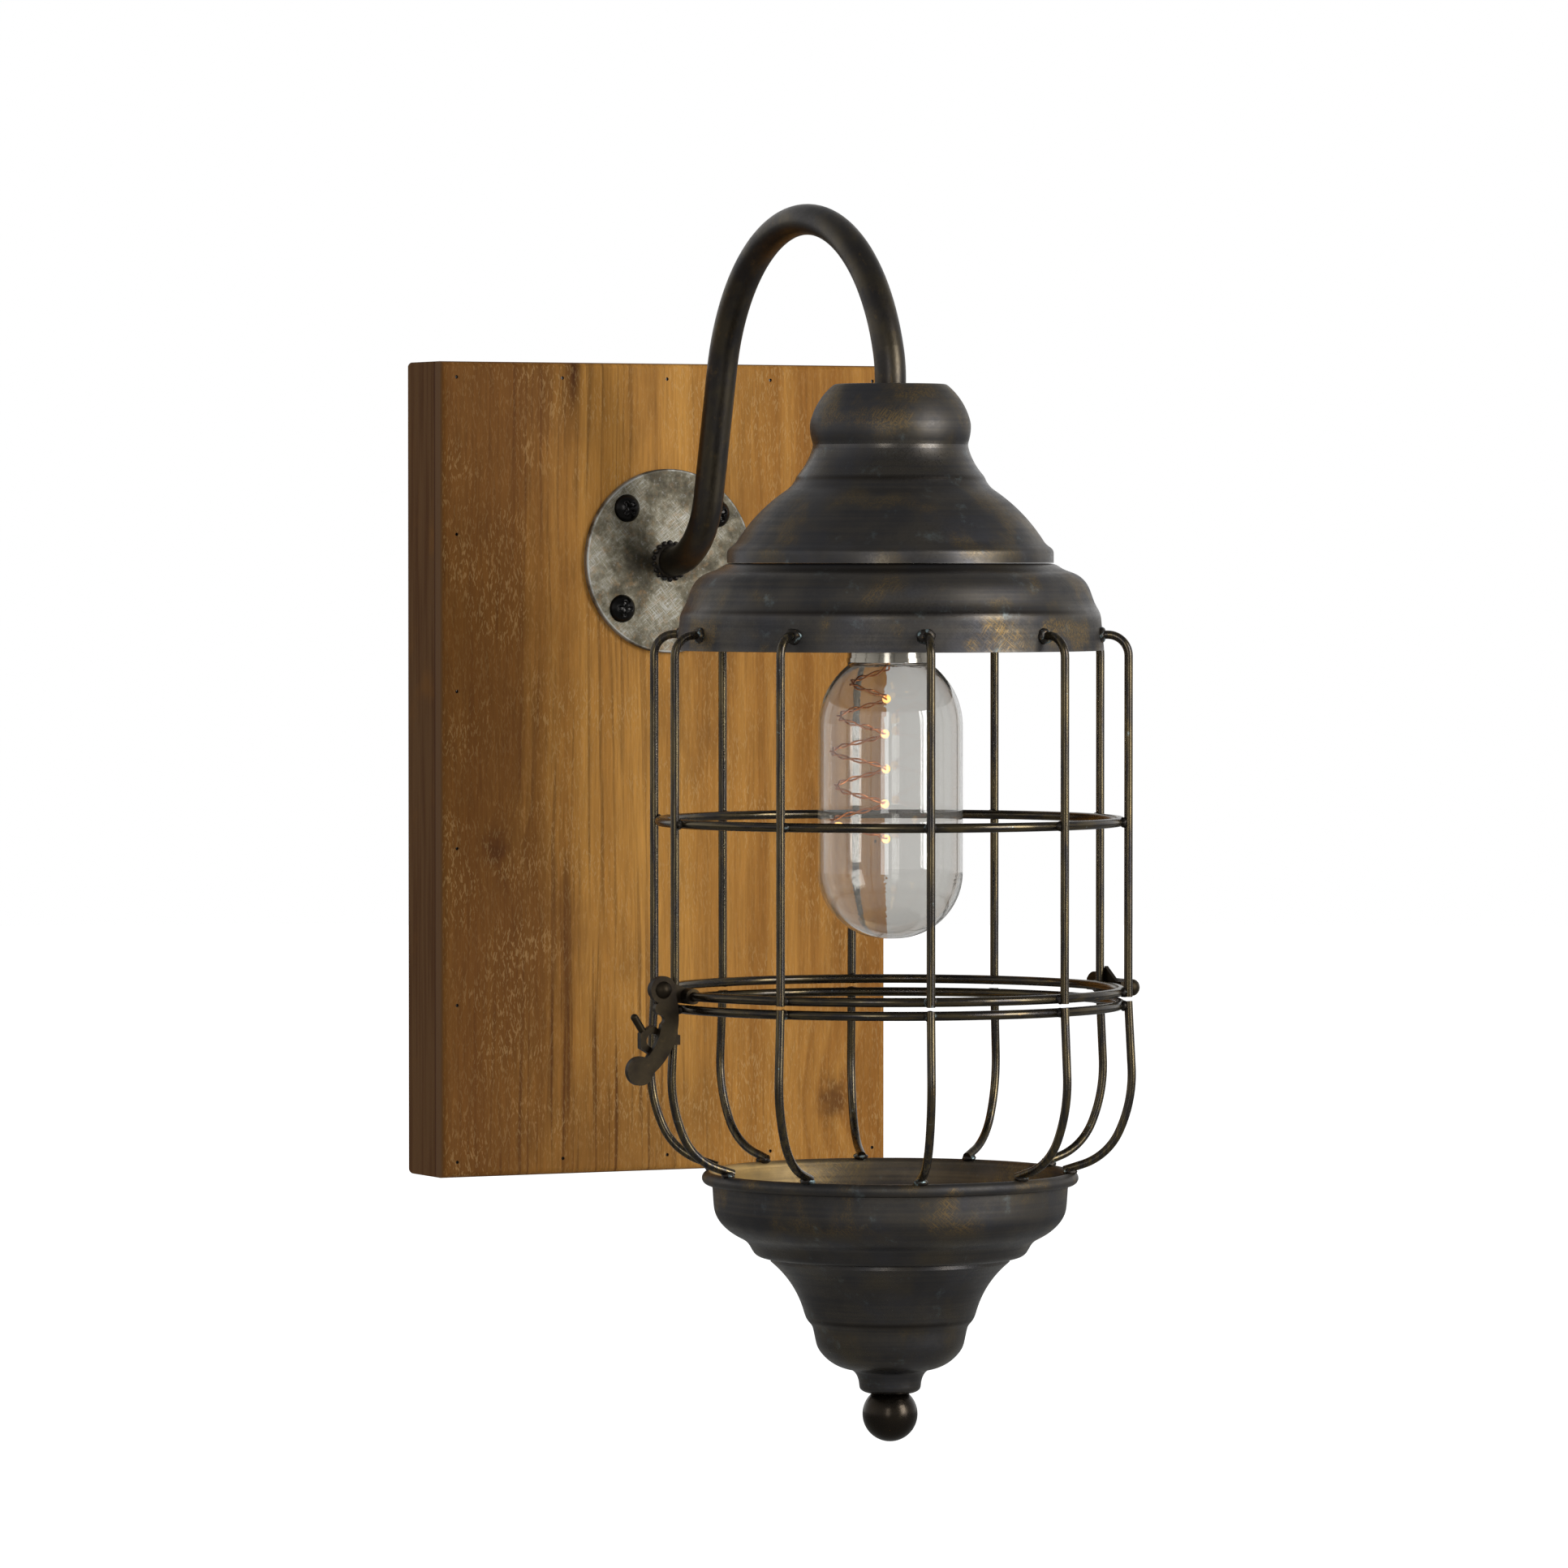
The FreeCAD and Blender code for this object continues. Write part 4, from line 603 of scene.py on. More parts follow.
def stained_pine(look):
    """Pine board, stained and wiped: honey and brown stripes, dark knots, pale flecks and a dull gloss."""
    material, tree = new_material("stained_pine")
    place = millimetres(tree)
    across = add(tree, "SeparateXYZ", {}, {0: place}, out="X")
    upward = across.node.outputs["Z"]
    line, knots = grain_lines(tree, place, across)
    drift = add(tree, "Math", TIMES, {0: upward, 1: 0.02})
    grain_at = add(tree, "CombineXYZ", {}, {"X": line, "Z": drift})
    broad = patches(tree, grain_at, [look.grain / MM] * 3, 4.0, roughness=0.6)
    cloud = patches(tree, place, (34, 34, 80), 4.0, roughness=0.55)
    tone = wood_tone(tree, look, cloud, broad, across, upward)
    tone = dark_stripes(tree, look, tone, grain_at, across, upward)
    thread = patches(tree, place, (0.7, 0.7, 14), 4.0)
    silk = add(tree, "MapRange", {}, {
        "Value": thread, "From Min": 0.25, "From Max": 0.75, "To Min": 0.74, "To Max": 1.22})
    silk_grey = add(tree, "CombineXYZ", {}, {"X": silk, "Y": silk, "Z": silk})
    tone = add(tree, "Mix", {"blend_type": "MULTIPLY", **COLOURS}, {0: 0.8, 6: tone, 7: silk_grey})
    tone = add(tree, "Mix", COLOURS, {0: knots, 6: tone, 7: look.umber})
    tone = laid(tree, tone, look.umber, bell(tree, line, *SPLIT_ACROSS), bell(tree, upward, *SPLIT_UP))
    tone = pale_flecks(tree, look, tone, place)
    tone = stained_sides(tree, place, tone, look)
    return surfaced(material, thread, 0.3, 0.15, {
        "Base Color": tone, "Roughness": 0.6, "IOR": 1.45, "Specular IOR Level": 0.12})


def brown_pine(name, look, lines):
    """Sawn pine frame under a thick brown stain: darker than the front, with long dull grain and dents."""
    material, tree = new_material(name)
    place = millimetres(tree)
    grain = patches(tree, place, lines, 4.0)
    cloud = patches(tree, place, [22] * 3, 3.0)
    dents = patches(tree, place, [3] * 3, 3.0)
    tone = tinted(tree, look.side, look.umber, grain, start=0.38, full=0.68, most=0.6)
    tone = tinted(tree, tone, look.stain, cloud, start=0.55, full=0.75, most=0.35)
    tone = joint_line(tree, place, tone, look, 1.0)
    both = add(tree, "Mix", NUMBERS, {0: 0.4, 2: grain, 3: dents})
    return surfaced(material, both, 0.45, 0.25, {
        "Base Color": tone, "Roughness": 0.7, "IOR": 1.45, "Specular IOR Level": 0.1})


def antiqued_pewter(look):
    """Pewter-plated steel disc, smoked and rubbed: grey clouds, coppery scuffs and a bright bare rim."""
    material, tree = new_material("antiqued_pewter")
    place = millimetres(tree)
    cloud = patches(tree, place, [13] * 3, 6.0, roughness=0.65)
    tone = tinted(tree, look.pewter, look.soot, cloud, start=0.60, full=0.36, most=0.75)
    speckle = patches(tree, place, [1.3] * 3, 4.0, roughness=0.7)
    tone = tinted(tree, tone, look.soot, speckle, start=0.50, full=0.36, most=0.32)
    tone = tinted(tree, tone, look.zinc, speckle, start=0.54, full=0.72, most=0.26)
    strokes = scratches(tree, place, (0.3, 0.3, 4.5), (52, -40))
    tone = tinted(tree, tone, look.zinc, cloud, start=0.46, full=0.62, most=0.5, mask=strokes)
    rub = patches(tree, place, [2.5] * 3, 6.0, roughness=0.7)
    height = add(tree, "SeparateXYZ", {}, {0: place}, out="Z")
    lower = add(tree, "MapRange", {}, {
        "Value": height, "From Min": FLANGE_HIGH.z / MM, "From Max": FLANGE_LOW.z / MM,
        "To Min": 0.15, "To Max": 0.6})
    tone = tinted(tree, tone, look.scuff, rub, start=0.50, full=0.68, mask=lower)
    radius = distance_in(tree, place, (0.0, FLANGE_FRONT / MM, FLANGE_Z / MM), (1.0, 0.0, 1.0))
    rim = FLANGE_RADIUS / MM
    bared = add(tree, "MapRange", SMOOTH, {
        "Value": cloud, "From Min": 0.42, "From Max": 0.60, "To Min": 0.1, "To Max": 0.85})
    tone = tinted(tree, tone, look.zinc, radius, start=rim - 1.0, full=rim - 0.3, mask=bared)
    gloss = add(tree, "MapRange", {}, {"Value": cloud, "To Min": 0.66, "To Max": 0.46})
    return surfaced(material, rub, 0.25, 0.12, {"Base Color": tone, "Metallic": 0.95, "Roughness": gloss})


def plated_metal(name, colour, line_sizes, smoothest, roughest):
    """Plated steel or brass: a bright even metal with faint lines from turning or rolling."""
    material, tree = new_material(name)
    place = millimetres(tree)
    lines = patches(tree, place, line_sizes, 3.0)
    darker = [share * 0.72 for share in colour[:3]] + [1.0]
    tone = add(tree, "Mix", COLOURS, {0: lines, 6: darker, 7: colour})
    gloss = add(tree, "MapRange", {}, {"Value": lines, "To Min": smoothest, "To Max": roughest})
    return surfaced(material, lines, 0.12, 0.05, {"Base Color": tone, "Metallic": 1.0, "Roughness": gloss})


def dull_moulding(name, colour, gloss):
    """Moulded fibre or a plastic sleeve: one colour with slight mottling and a low gloss."""
    material, tree = new_material(name)
    place = millimetres(tree)
    mottle = patches(tree, place, [2] * 3, 3.0)
    darker = [share * 0.6 for share in colour[:3]] + [1.0]
    tone = add(tree, "Mix", COLOURS, {0: mottle, 6: darker, 7: colour})
    shader = add(tree, "BsdfPrincipled", {}, {"Base Color": tone, "Roughness": gloss})
    add(tree, "OutputMaterial", {}, {"Surface": shader})
    return material


def smoked_glass(look):
    """Blown soda glass, lightly smoked: clear with a grey veil and bright edges; light passes to the wire."""
    material, tree = new_material("smoked_glass")
    place = millimetres(tree)
    waves = patches(tree, place, [18] * 3, 1.0)
    relief = add(tree, "Bump", {}, {"Strength": 0.06, "Distance": 0.5 * MM, "Height": waves})
    clear = add(tree, "BsdfPrincipled", {}, {
        "Base Color": look.glass, "Roughness": 0.0, "IOR": 1.5, "Transmission Weight": 0.965,
        "Normal": relief})
    through = add(tree, "BsdfTransparent", {}, {"Color": look.glass})
    shadow = add(tree, "LightPath", out="Is Shadow Ray")
    shader = add(tree, "MixShader", {}, {0: shadow, 1: clear, 2: through})
    add(tree, "OutputMaterial", {}, {"Surface": shader})
    return material


def lit_resin(look):
    """Clear resin drop over a lit chip: a pale hot middle that falls off to amber at the edge."""
    material, tree = new_material("lit_resin")
    edge = add(tree, "LayerWeight", {}, {"Blend": 0.35}, out="Facing")
    tone = add(tree, "Mix", COLOURS, {0: edge, 6: look.core, 7: look.amber})
    shader = add(tree, "BsdfPrincipled", {}, {
        "Base Color": look.amber, "Roughness": 0.15, "Emission Color": tone, "Emission Strength": look.glow})
    add(tree, "OutputMaterial", {}, {"Surface": shader})
    return material


def polar(radius, angle, height):
    """Point about the lantern's axis; angle 0 faces the viewer and a quarter turn points right."""
    return Vector((AXIS_X + radius * math.sin(angle), AXIS_Y - radius * math.cos(angle), height))


def lump(bm, place, angle, sizes, seed):
    """Adds one lumpy bead of weld, with its sizes outwards, along the ring and up."""
    turn = Matrix.Translation(place) @ Matrix.Rotation(angle - math.pi / 2, 4, "Z")
    made = bmesh.ops.create_icosphere(bm, subdivisions=3, radius=1.0)["verts"]
    for vert in made:
        swell = 1 + LUMP_HEIGHT * noise.noise(vert.co * LUMP_PITCH + Vector((seed, seed * 0.37, 0)))
        vert.co = turn @ Vector((vert.co[axis] * swell * sizes[axis] for axis in range(3)))


def cross_depth(u, v, reach, depth):
    """How far a point of a screw's head is pushed in by the cross recess."""
    arm = reach * RECESS_ARM
    near = min(abs(u), abs(v))
    far = max(abs(u), abs(v))
    if near > arm or far > reach:
        return 0.0
    return depth * (1 - RECESS_TAPER * far / reach)


def turned_screw(bm, look, seat, direction, head, shank):
    """Adds a screw: its head is (radius, height, domed) and its shank (radius, length)."""
    radius, height, domed = head
    ball = (radius ** 2 + height ** 2) / (2 * height)
    profile = []
    for index in range(HEAD_RINGS + 1):
        out = radius * index / HEAD_RINGS
        rise = math.sqrt(ball ** 2 - out ** 2) - (ball - height) if domed else 0.0
        profile.append((out, rise))
    under = 0.0 if domed else -height
    profile += [(shank[0], under), (shank[0], under - shank[1] * SHANK_POINT), (0.0, under - shank[1])]
    verts = [bm.verts.new((out, 0.0, rise)) for out, rise in profile]
    edges = [bm.edges.new(pair) for pair in zip(verts[:-1], verts[1:])]
    bmesh.ops.spin(bm, geom=verts + edges, cent=(0, 0, 0), axis=(0, 0, 1), angle=2 * math.pi,
                   steps=HEAD_SIDES, use_merge=True)
    bmesh.ops.remove_doubles(bm, verts=bm.verts, dist=MERGE)
    turn = Vector((0, 0, 1)).rotation_difference(direction).to_matrix()
    skew = Matrix.Rotation(seat.x * CROSS_TURN[0] + seat.z * CROSS_TURN[1], 3, "Z")
    share = radius / RECESS_HEAD
    for vert in [v for v in bm.verts if not v.tag]:
        if vert.co.z > -0.5 * height * (not domed) - 0.01 * MM:
            vert.co.z -= cross_depth(vert.co.x, vert.co.y, look.recess * share, look.recess_depth * share)
        vert.co = seat + turn @ skew @ vert.co
        vert.tag = True


def is_corner(vert):
    """Whether an outline turns sharply at a point, as at a sheet's edge, or ends there."""
    if len(vert.link_edges) != 2:
        return True
    ways = [edge.other_vert(vert).co - vert.co for edge in vert.link_edges]
    return ways[0].angle(ways[1]) < math.pi - SHARP_TURN


def sheet_outline(name, middle):
    """Outline of a spun sheet at the back of its axis, cut from a merged copy of its node."""
    bm = bmesh.new()
    bm.from_mesh(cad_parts[name].data)
    bmesh.ops.remove_doubles(bm, verts=bm.verts, dist=MERGE)
    bmesh.ops.bisect_plane(bm, geom=bm.verts[:] + bm.edges[:] + bm.faces[:], plane_co=middle,
                           plane_no=(0, 1, 0), clear_outer=True)
    cut = bmesh.ops.bisect_plane(bm, geom=bm.verts[:] + bm.edges[:] + bm.faces[:], plane_co=middle,
                                 plane_no=(1, 0, 0))["geom_cut"]
    outline = {part for part in cut if isinstance(part, bmesh.types.BMEdge)}
    bmesh.ops.delete(bm, geom=bm.faces[:], context="FACES_ONLY")
    bmesh.ops.delete(bm, geom=[edge for edge in bm.edges if edge not in outline], context="EDGES")
    bmesh.ops.delete(bm, geom=[vert for vert in bm.verts if not vert.link_edges], context="VERTS")
    bmesh.ops.remove_doubles(bm, verts=bm.verts, dist=SHEET_MERGE)
    return bm


def spun_sheet(name, material, body, passes, still):
    """Replaces a spun sheet by one with softly rounded turns; above still it keeps its form."""
    middle = (AXIS_X, AXIS_Y, 0.0)
    bm = sheet_outline(name, middle)
    for edge in bm.edges[:]:
        cuts = int(edge.calc_length() / SHEET_STEP)
        if cuts:
            bmesh.ops.subdivide_edges(bm, edges=[edge], cuts=cuts)
    ends = [vert.co.copy() for vert in bm.verts if is_corner(vert)]
    free = [vert for vert in bm.verts if vert.co.z < still
            and all((vert.co - end).length > SHEET_END for end in ends)]
    for _ in range(passes):
        bmesh.ops.smooth_vert(bm, verts=free, factor=0.5, use_axis_x=True, use_axis_y=True, use_axis_z=True)
    bmesh.ops.spin(bm, geom=bm.verts[:] + bm.edges[:], cent=middle, axis=(0, 0, 1), angle=2 * math.pi,
                   steps=SHEET_SIDES, use_merge=True)
    bmesh.ops.remove_doubles(bm, verts=bm.verts, dist=MERGE)
    for edge in bm.edges:
        edge.smooth = not edge.is_manifold or edge.calc_face_angle() < SHARP_TURN
    sheet = piece_from(bm, "spun_" + name, material, body)
    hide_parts(name)


def winding_point(turn, top):
    """Point of the fairy lights' winding after a number of turns."""
    angle = 2 * math.pi * turn
    grown = 1 - WINDING_TAPER * math.exp(-WINDING_GROWTH * turn)
    swell = WINDING_SWELL * math.sin(WINDING_WAVES * angle / WINDING_TURNS)
    radius = grown * (WINDING_RADIUS + swell)
    return Vector((grown * WINDING_SHIFT[0] + radius * math.cos(angle),
                   AXIS_Y + grown * WINDING_SHIFT[1] + radius * math.sin(angle),
                   top - WINDING_PITCH * turn))


def add_strand(curve, look, route, start):
    """Adds one strand of the pair to a curve; it winds about the route from a start angle."""
    spline = curve.splines.new("NURBS")
    spline.points.add(len(route) - 1)
    travelled = 0.0
    for index, point in enumerate(route):
        before = route[max(index - 1, 0)]
        after = route[min(index + 1, len(route) - 1)]
        ahead = (after - before).normalized()
        sideways = ahead.cross(Vector((0.3, 0.2, 1))).normalized()
        upwards = sideways.cross(ahead)
        travelled += (point - before).length
        phase = start + 2 * math.pi * travelled / look.twist
        apart = look.strand * STRANDS_APART
        place = point + sideways * apart * math.cos(phase) + upwards * apart * math.sin(phase)
        spline.points[index].co = (*place, 1.0)
    spline.order_u = 3
    spline.use_endpoint_u = True


def place_camera(scene, stage):
    """Camera at the photograph's angle."""
    away = Vector((-math.sin(stage.turn) * math.cos(stage.fall), -math.cos(stage.turn) * math.cos(stage.fall),
                   math.sin(stage.fall)))
    lens = bpy.data.cameras.new("photo_camera")
    lens.sensor_width = SENSOR_WIDTH
    lens.lens = stage.lens
    lens.shift_x = stage.framing / PHOTO_WIDTH
    lens.clip_end = 50.0
    camera = bpy.data.objects.new("photo_camera", lens)
    scene.collection.objects.link(camera)
    camera.location = Vector(stage.target) + away * stage.distance
    camera.rotation_euler = (-away).to_track_quat("-Z", "Y").to_euler()
    scene.camera = camera


def pale_floor(stage):
    """Large pale disc below the lantern; it looks white to the camera and still takes the shadow."""
    material, tree = new_material("pale_floor")
    place = millimetres(tree)
    seen = add(tree, "LightPath", out="Is Camera Ray")
    mirrored = seen.node.outputs["Is Glossy Ray"]
    colour = add(tree, "Mix", COLOURS, {0: mirrored, 6: stage.floor, 7: stage.floor_in_metal})
    shade = add(tree, "BsdfDiffuse", {}, {"Color": colour})
    through = add(tree, "Math", TIMES, {0: seen.node.outputs["Is Transmission Ray"], 1: FLOOR_IN_GLASS})
    glow = add(tree, "Math", TIMES_PLUS, {0: mirrored, 1: FLOOR_IN_METAL, 2: through})
    away = distance_in(tree, place, (0.0, 0.0, 0.0), (1.0, 1.0, 0.0))
    white_out = add(tree, "MapRange", {}, {
        "Value": away, "From Min": FLOOR_WHITENS[0] / MM, "From Max": FLOOR_WHITENS[1] / MM,
        "To Min": FLOOR_WHITE[0], "To Max": FLOOR_WHITE[1]})
    glow = add(tree, "Mix", NUMBERS, {0: seen, 2: glow, 3: white_out})
    white = add(tree, "Emission", {}, {"Color": (1, 1, 1, 1), "Strength": glow})
    shader = add(tree, "AddShader", {}, {0: shade, 1: white})
    add(tree, "OutputMaterial", {}, {"Surface": shader})
    bm = bmesh.new()
    bmesh.ops.create_circle(bm, cap_ends=True, segments=96, radius=FLOOR_RADIUS)
    bmesh.ops.translate(bm, verts=bm.verts, vec=(0, 0, CAD_BOX[0].z - FLOOR_DROP))
    mesh = bpy.data.meshes.new("floor")
    bm.to_mesh(mesh)
    bm.free()
    floor = bpy.data.objects.new("floor", mesh)
    mesh.materials.append(material)
    bpy.context.scene.collection.objects.link(floor)


def white_surround(scene, stage):
    """Studio: white to the eye, a grey backdrop in metal and glass, and a plain even light."""
    world = bpy.data.worlds.new("white_surround")
    scene.world = world
    world.use_nodes = True
    tree = world.node_tree
    tree.nodes.clear()
    way = add(tree, "TexCoord", out="Generated")
    depth = add(tree, "SeparateXYZ", {}, {0: way}, out="Y")
    level = add(tree, "MapRange", SMOOTH, {
        "Value": depth, "From Min": BACKDROP_FROM[0], "From Max": BACKDROP_FROM[1],
        "To Min": stage.front_level, "To Max": stage.back_level})
    steep = add(tree, "Math", {"operation": "ABSOLUTE"}, {0: depth.node.outputs["Z"]})
    dim = add(tree, "MapRange", SMOOTH, {
        "Value": steep, "From Min": POLES_FROM[0], "From Max": POLES_FROM[1],
        "To Min": 1.0, "To Max": stage.pole_level})
    level = add(tree, "Math", TIMES, {0: level, 1: dim})
    seen = add(tree, "LightPath", out="Is Camera Ray")
    rays = seen.node.outputs
    level = add(tree, "Mix", NUMBERS, {0: rays["Is Glossy Ray"], 2: stage.room_level, 3: level})
    level = add(tree, "Mix", NUMBERS, {0: rays["Is Transmission Ray"], 2: level, 3: stage.glass_level})
    strength = add(tree, "Mix", NUMBERS, {0: seen, 2: level, 3: 1.0})
    surround = add(tree, "Background", {}, {"Color": (1, 1, 1, 1), "Strength": strength})
    add(tree, "OutputWorld", {}, {"Surface": surround})


def soft_box(name, place, size, power):
    """Rectangular soft box turned to the middle of the lantern."""
    lamp = bpy.data.lights.new(name, "AREA")
    lamp.shape = "RECTANGLE"
    lamp.size, lamp.size_y = size
    lamp.energy = power
    box = bpy.data.objects.new(name, lamp)
    bpy.context.scene.collection.objects.link(box)
    box.location = place
    aim = LAMP_TARGET - place
    box.rotation_euler = aim.to_track_quat("-Z", "Y").to_euler()


class LANTERN_OT_hood_and_cup(bpy.types.Operator):
    """Finish the spun hood and cup in blackened brass"""

    bl_idname = "lantern.hood_and_cup"
    bl_label = "Hood and cup"

    def execute(self, context):
        look = context.scene.lantern_brass
        top = CAD_BOX[1].z
        hood = spun_brass("blackened_spun_brass_hood", look, HOOD_RIM_Z, HOOD_RUBS, HOOD_SHADE_LINES,
                          inside_brass_and_reflection_share=0.1)
        coat(["hood_washer"], hood)
        spun_sheet("hood_bell", hood, "board_and_cage", passes=2, still=top)
        spun_sheet("hood_skirt", hood, "board_and_cage", passes=8, still=top)
        cup = spun_brass("blackened_spun_brass_cup", look, CUP_TOP_Z, CUP_RUBS, CUP_SHADE_LINES,
                         inside_brass_and_reflection_share=0.75)
        spun_sheet("cup_bowl", cup, "basket", passes=16, still=CUP_TOP_Z - LIP_ROLL)
        spun_sheet("cup_cone", cup, "basket", passes=5, still=top)
        ball = drawn_brass("blackened_brass_ball", look, (9.0, 9.0, 9.0),
                           rub=0.03, soot=0.9, bloom=0.0, bump=0.1, gloss=0.25)
        coat(["finial_ball"], ball)
        return {"FINISHED"}


class LANTERN_OT_arm_and_cage(bpy.types.Operator):
    """Finish the arm, wires, rings, latch and hinge in blackened brass"""

    bl_idname = "lantern.arm_and_cage"
    bl_label = "Arm and cage"

    def execute(self, context):
        look = context.scene.lantern_brass
        arm = drawn_brass("blackened_brass_tube", look, (5.0, 12.0, 12.0),
                          rub=0.2, soot=0.48, bloom=0.0, bump=0.15, gloss=0.38)
        coat(["gooseneck_arm"], arm)
        wires = drawn_brass("blackened_brass_wire", look, (1.0, 1.0, 16.0),
                            rub=0.5, soot=0.5, bloom=0.35, bump=0.15, gloss=0.23)
        coat(UPPER_WIRES + LOWER_WIRES, wires)
        rings = drawn_brass("blackened_brass_ring", look, (9.0, 9.0, 1.0),
                            rub=0.45, soot=0.5, bloom=0.35, bump=0.15, gloss=0.21)
        coat(["mid_ring", "upper_door_ring", "lower_door_ring"], rings)
        plate = drawn_brass("blackened_brass_plate", look, (11.0, 11.0, 11.0),
                            rub=0.12, soot=1.0, bloom=0.0, bump=0.2, gloss=0.46)
        coat(["latch_clip", "latch_rivet", "latch_lever", "latch_keeper", "hinge_cage_leaf",
              "hinge_basket_leaf", "hinge_pin"], plate)
        return {"FINISHED"}


class LANTERN_OT_welds(bpy.types.Operator):
    """Add the brazed beads where wires meet the rim, the rings and the cup"""

    bl_idname = "lantern.welds"
    bl_label = "Welds"

    def execute(self, context):
        size = context.scene.lantern_fittings.weld
        brass = context.scene.lantern_brass
        metal = weld_metal("brazed_joint", brass, bloom=0.8)
        spots = (
            ("rim_welds", "board_and_cage", HOOD_RIM_RADIUS - RIM_WELD_IN, HOOD_RIM_Z + RIM_WELD_UP,
             (0.8, 1.5, 1.25)),
            ("mid_ring_welds", "board_and_cage", RING_OUTSIDE, MID_RING_Z, (0.75, 1.1, 0.85)),
            ("upper_ring_welds", "board_and_cage", RING_OUTSIDE, UPPER_RING_Z, (0.75, 1.1, 0.8)),
            ("lower_ring_welds", "basket", RING_OUTSIDE, LOWER_RING_Z, (0.75, 1.1, 0.8)),
            ("cup_rim_welds", "basket", CUP_RIM_RADIUS - LIP_WELD_IN, CUP_TOP_Z + LIP_WELD_UP,
             (1.1, 1.2, 0.7)),
        )
        for row, (name, body, radius, height, shares) in enumerate(spots):
            bm = bmesh.new()
            for index, angle in enumerate(WIRE_ANGLES):
                sizes = [share * size for share in shares]
                lump(bm, polar(radius, angle, height), angle, sizes, 11.3 * row + 2.7 * index)
            piece_from(bm, name, metal, body)
        low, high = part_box("gooseneck_arm")
        tube = (high.x - low.x) / 2
        bm = bmesh.new()
        for index in range(ROOT_BEADS):
            angle = 2 * math.pi * index / ROOT_BEADS
            spot = Vector((tube * math.sin(angle), FLANGE_FRONT - ROOT_BEAD_OUT,
                           FLANGE_Z + tube * math.cos(angle)))
            lump(bm, spot, angle, [ROOT_BEAD] * 3, 1.9 * index)
        root = weld_metal("brazed_root", brass, bloom=0.1)
        piece_from(bm, "root_weld", root, "board_and_cage")
        return {"FINISHED"}


class LANTERN_OT_board(bpy.types.Operator):
    """Finish the pine board and its frame"""

    bl_idname = "lantern.board"
    bl_label = "Board"

    def execute(self, context):
        look = context.scene.lantern_board
        coat(["front_panel"], stained_pine(look))
        coat(["left_rail", "right_rail"], brown_pine("brown_pine_upright", look, (2.2, 2.2, 60)))
        level = brown_pine("brown_pine_level", look, (60, 2.2, 2.2))
        coat(["top_rail", "bottom_rail", "flange_backing"], level)
        return {"FINISHED"}


class LANTERN_OT_flange_and_screws(bpy.types.Operator):
    """Finish the flange and hangers, and make their screws with cross recesses"""

    bl_idname = "lantern.flange_and_screws"
    bl_label = "Flange and screws"

    def execute(self, context):
        look = context.scene.lantern_fittings
        coat(["wall_flange"], antiqued_pewter(look))
        zinc = plated_metal("zinc_plated_steel", look.zinc, (6, 6, 1.2), smoothest=0.30, roughest=0.48)
        coat(["left_hanger", "right_hanger"], zinc)
        oxide = plated_metal("black_oxide_steel", look.oxide, (0.8, 0.8, 0.8), smoothest=0.18, roughest=0.30)
        coat(["panel_brads"], oxide)
        low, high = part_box("flange_screws")
        turns = [SCREW_TURN + quarter * math.pi / 2 for quarter in range(4)]
        head = high.x - SCREW_CIRCLE * max(math.sin(turn) for turn in turns)
        bm = bmesh.new()
        for turn in turns:
            seat = Vector((SCREW_CIRCLE * math.sin(turn), FLANGE_FRONT - SEAT_GAP,
                           FLANGE_Z + SCREW_CIRCLE * math.cos(turn)))
            size = (head, seat.y - low.y, True)
            turned_screw(bm, look, seat, Vector((0, -1, 0)), size, (FLANGE_SHANK, high.y - seat.y))
        screws = piece_from(bm, "pan_head_screws", oxide, "board_and_cage")
        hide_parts("flange_screws")
        bm = bmesh.new()
        for name in ("left_hanger", "right_hanger"):
            low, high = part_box(name)
            for height in (low.z + HANGER_SCREW_INSET, high.z - HANGER_SCREW_INSET):
                seat = Vector(((low.x + high.x) / 2, high.y, height))
                turned_screw(bm, look, seat, Vector((0, 1, 0)), HANGER_HEAD, HANGER_SHANK)
        screws = piece_from(bm, "countersunk_screws", zinc, "board_and_cage")
        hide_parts("hanger_screws")
        return {"FINISHED"}


class LANTERN_OT_bulb(bpy.types.Operator):
    """Finish the barrel, cells, collar and glass of the bulb"""

    bl_idname = "lantern.bulb"
    bl_label = "Bulb"

    def execute(self, context):
        look = context.scene.lantern_bulb
        nickel = plated_metal("satin_nickel", look.nickel, (40, 40, 0.5), smoothest=0.10, roughest=0.20)
        coat(["battery_barrel", "bulb_collar"], nickel)
        coat(["contact_disc", "bulb_plug"], dull_moulding("vulcanised_fibre", look.fibre, gloss=0.7))
        coat(CELLS, dull_moulding("cell_sleeve", look.sleeve, gloss=0.35))
        coat(["bulb_glass"], smoked_glass(look))
        return {"FINISHED"}


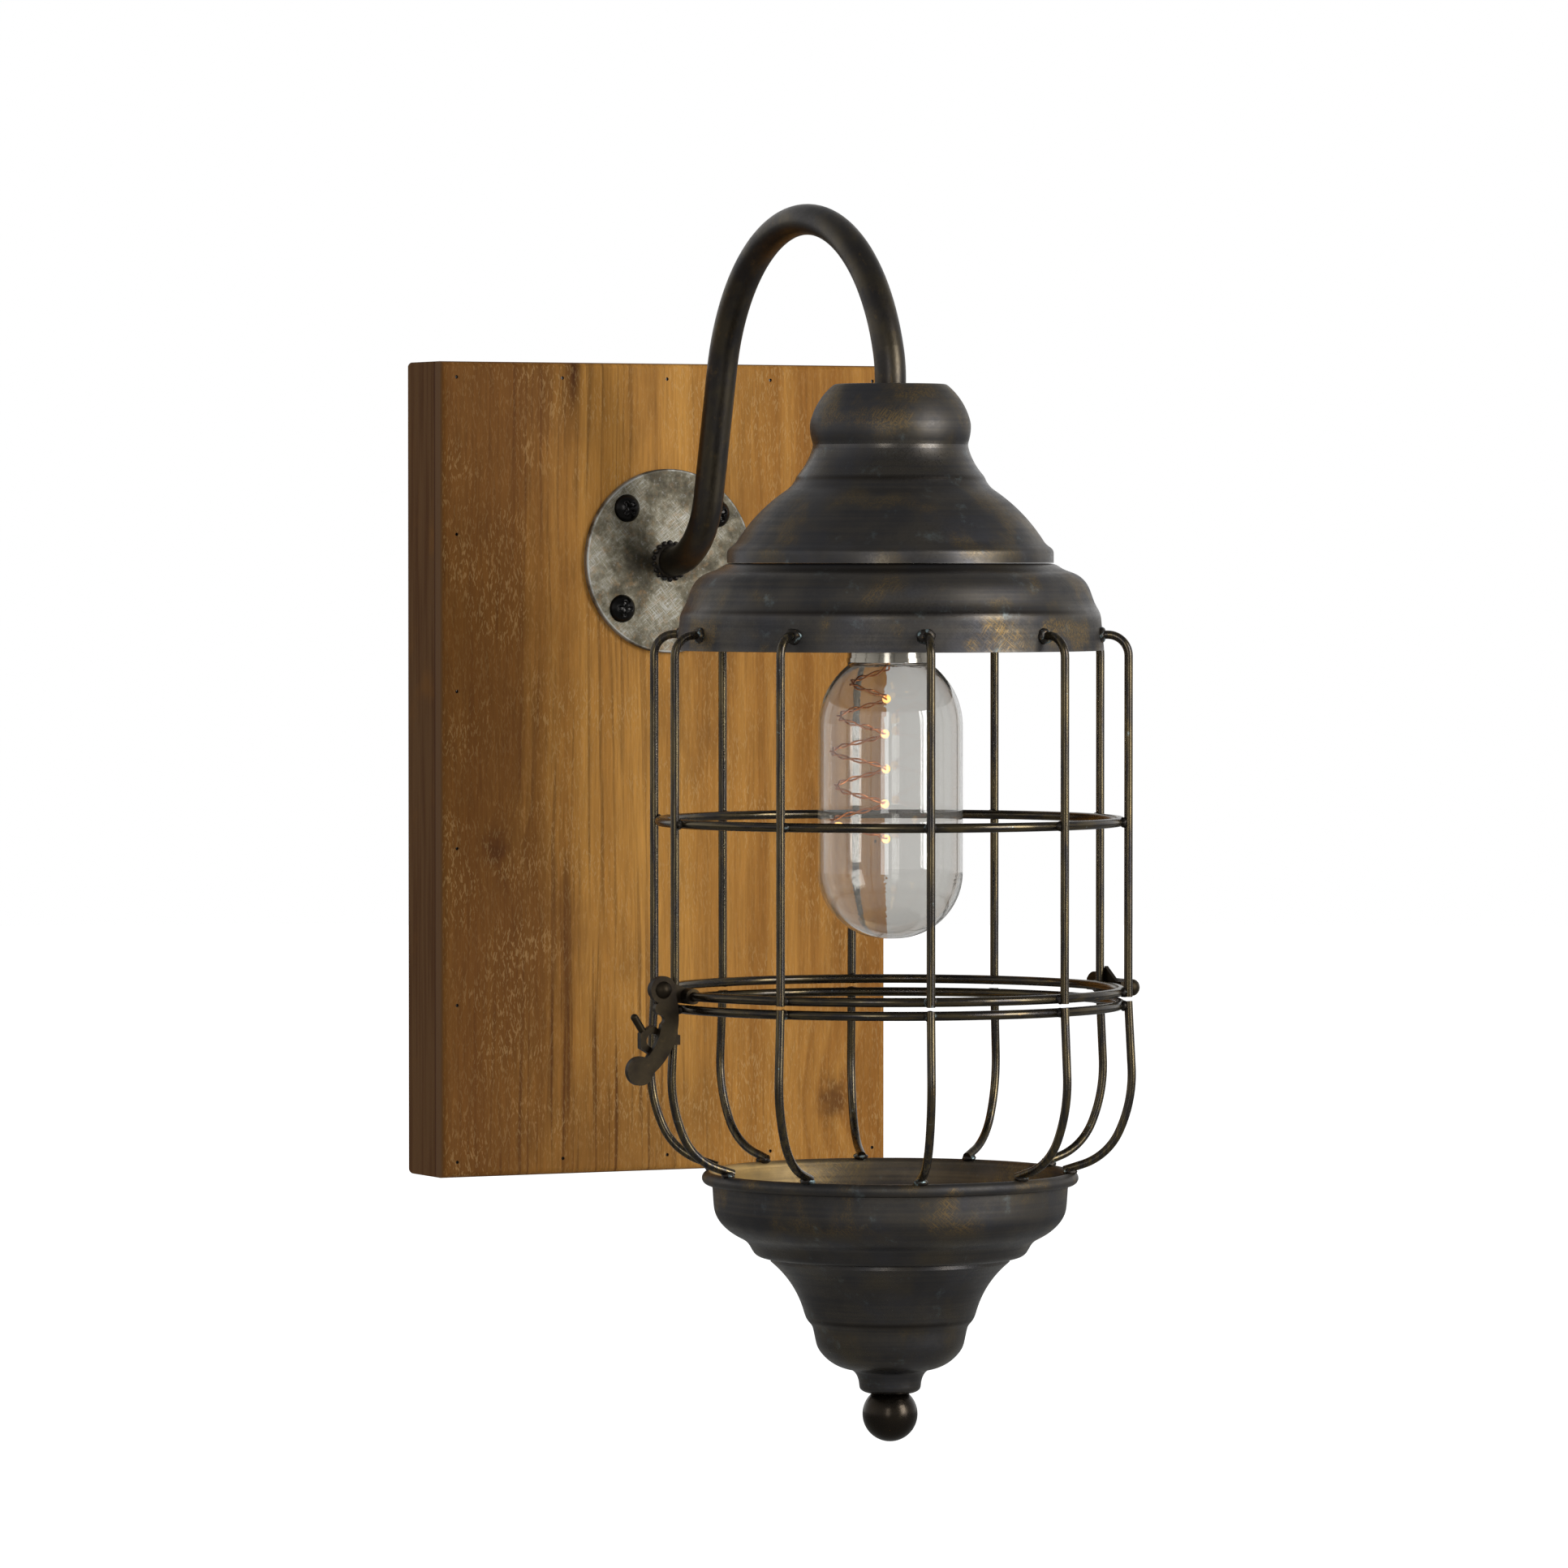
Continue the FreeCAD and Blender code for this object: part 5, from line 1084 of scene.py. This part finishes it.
class LANTERN_OT_fairy_lights(bpy.types.Operator):
    """Make the twisted pair of the fairy lights and light its drops"""

    bl_idname = "lantern.fairy_lights"
    bl_label = "Fairy lights"

    def execute(self, context):
        look = context.scene.lantern_bulb
        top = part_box("fairy_wire")[1].z
        coil_top = top - WINDING_LEAD
        first = winding_point(0, coil_top)
        lead = Vector((first.x / 2, first.y, top))
        route = [lead, lead - Vector((0, 0, WINDING_DROP))]
        steps = WINDING_TURNS * POINTS_PER_TURN
        route += [winding_point(index / POINTS_PER_TURN, coil_top) for index in range(steps + 1)]
        curve = bpy.data.curves.new("fairy_strands", "CURVE")
        curve.dimensions = "3D"
        curve.bevel_depth = look.strand / 2
        curve.bevel_resolution = 2
        curve.resolution_u = 2
        for start in (0, math.pi):
            add_strand(curve, look, route, start)
        strands = bpy.data.objects.new("fairy_strands", curve)
        context.scene.collection.objects.link(strands)
        copper = plated_metal("bright_copper", look.copper, (1.5, 1.5, 1.5), smoothest=0.22, roughest=0.36)
        curve.materials.append(copper)
        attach(strands, "bulb")
        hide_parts("fairy_wire")
        coat(["light_drops"], lit_resin(look))
        return {"FINISHED"}


class LANTERN_OT_stage(bpy.types.Operator):
    """Set the camera, the floor, the soft boxes and the white surround"""

    bl_idname = "lantern.stage"
    bl_label = "Stage"

    def execute(self, context):
        stage = context.scene.lantern_stage
        context.scene.view_settings.view_transform = "Standard"
        place_camera(context.scene, stage)
        pale_floor(stage)
        white_surround(context.scene, stage)
        soft_box("key_box", KEY_PLACE, KEY_SIZE, stage.key)
        soft_box("fill_box", FILL_PLACE, FILL_SIZE, stage.fill)
        return {"FINISHED"}


class LANTERN_PT_panel(bpy.types.Panel):
    """Lists the steps that finish the lantern"""

    bl_label = "Lantern"
    bl_idname = "LANTERN_PT_panel"
    bl_space_type = "VIEW_3D"
    bl_region_type = "UI"
    bl_category = "Lantern"

    def draw(self, context):
        for step in STEPS:
            self.layout.operator(step.bl_idname)


STEPS = (LANTERN_OT_hood_and_cup, LANTERN_OT_arm_and_cage, LANTERN_OT_welds, LANTERN_OT_board,
         LANTERN_OT_flange_and_screws, LANTERN_OT_bulb, LANTERN_OT_fairy_lights, LANTERN_OT_stage)
FINISHES = (
    ("lantern_brass", BrassFinish),
    ("lantern_board", BoardFinish),
    ("lantern_fittings", FittingFinish),
    ("lantern_bulb", BulbFinish),
    ("lantern_stage", StageSettings),
)


def register():
    for name, group in FINISHES:
        bpy.utils.register_class(group)
        setattr(bpy.types.Scene, name, PointerProperty(type=group))
    for step in STEPS:
        bpy.utils.register_class(step)
    bpy.utils.register_class(LANTERN_PT_panel)


def unregister():
    bpy.utils.unregister_class(LANTERN_PT_panel)
    for step in reversed(STEPS):
        bpy.utils.unregister_class(step)
    for name, group in reversed(FINISHES):
        delattr(bpy.types.Scene, name)
        bpy.utils.unregister_class(group)


def main():
    register()
    bpy.ops.lantern.stage()
    bpy.ops.lantern.fairy_lights()
    bpy.ops.lantern.bulb()
    bpy.ops.lantern.hood_and_cup()
    bpy.ops.lantern.arm_and_cage()
    bpy.ops.lantern.welds()
    bpy.ops.lantern.board()
    bpy.ops.lantern.flange_and_screws()


if __name__ == "__main__":
    main()
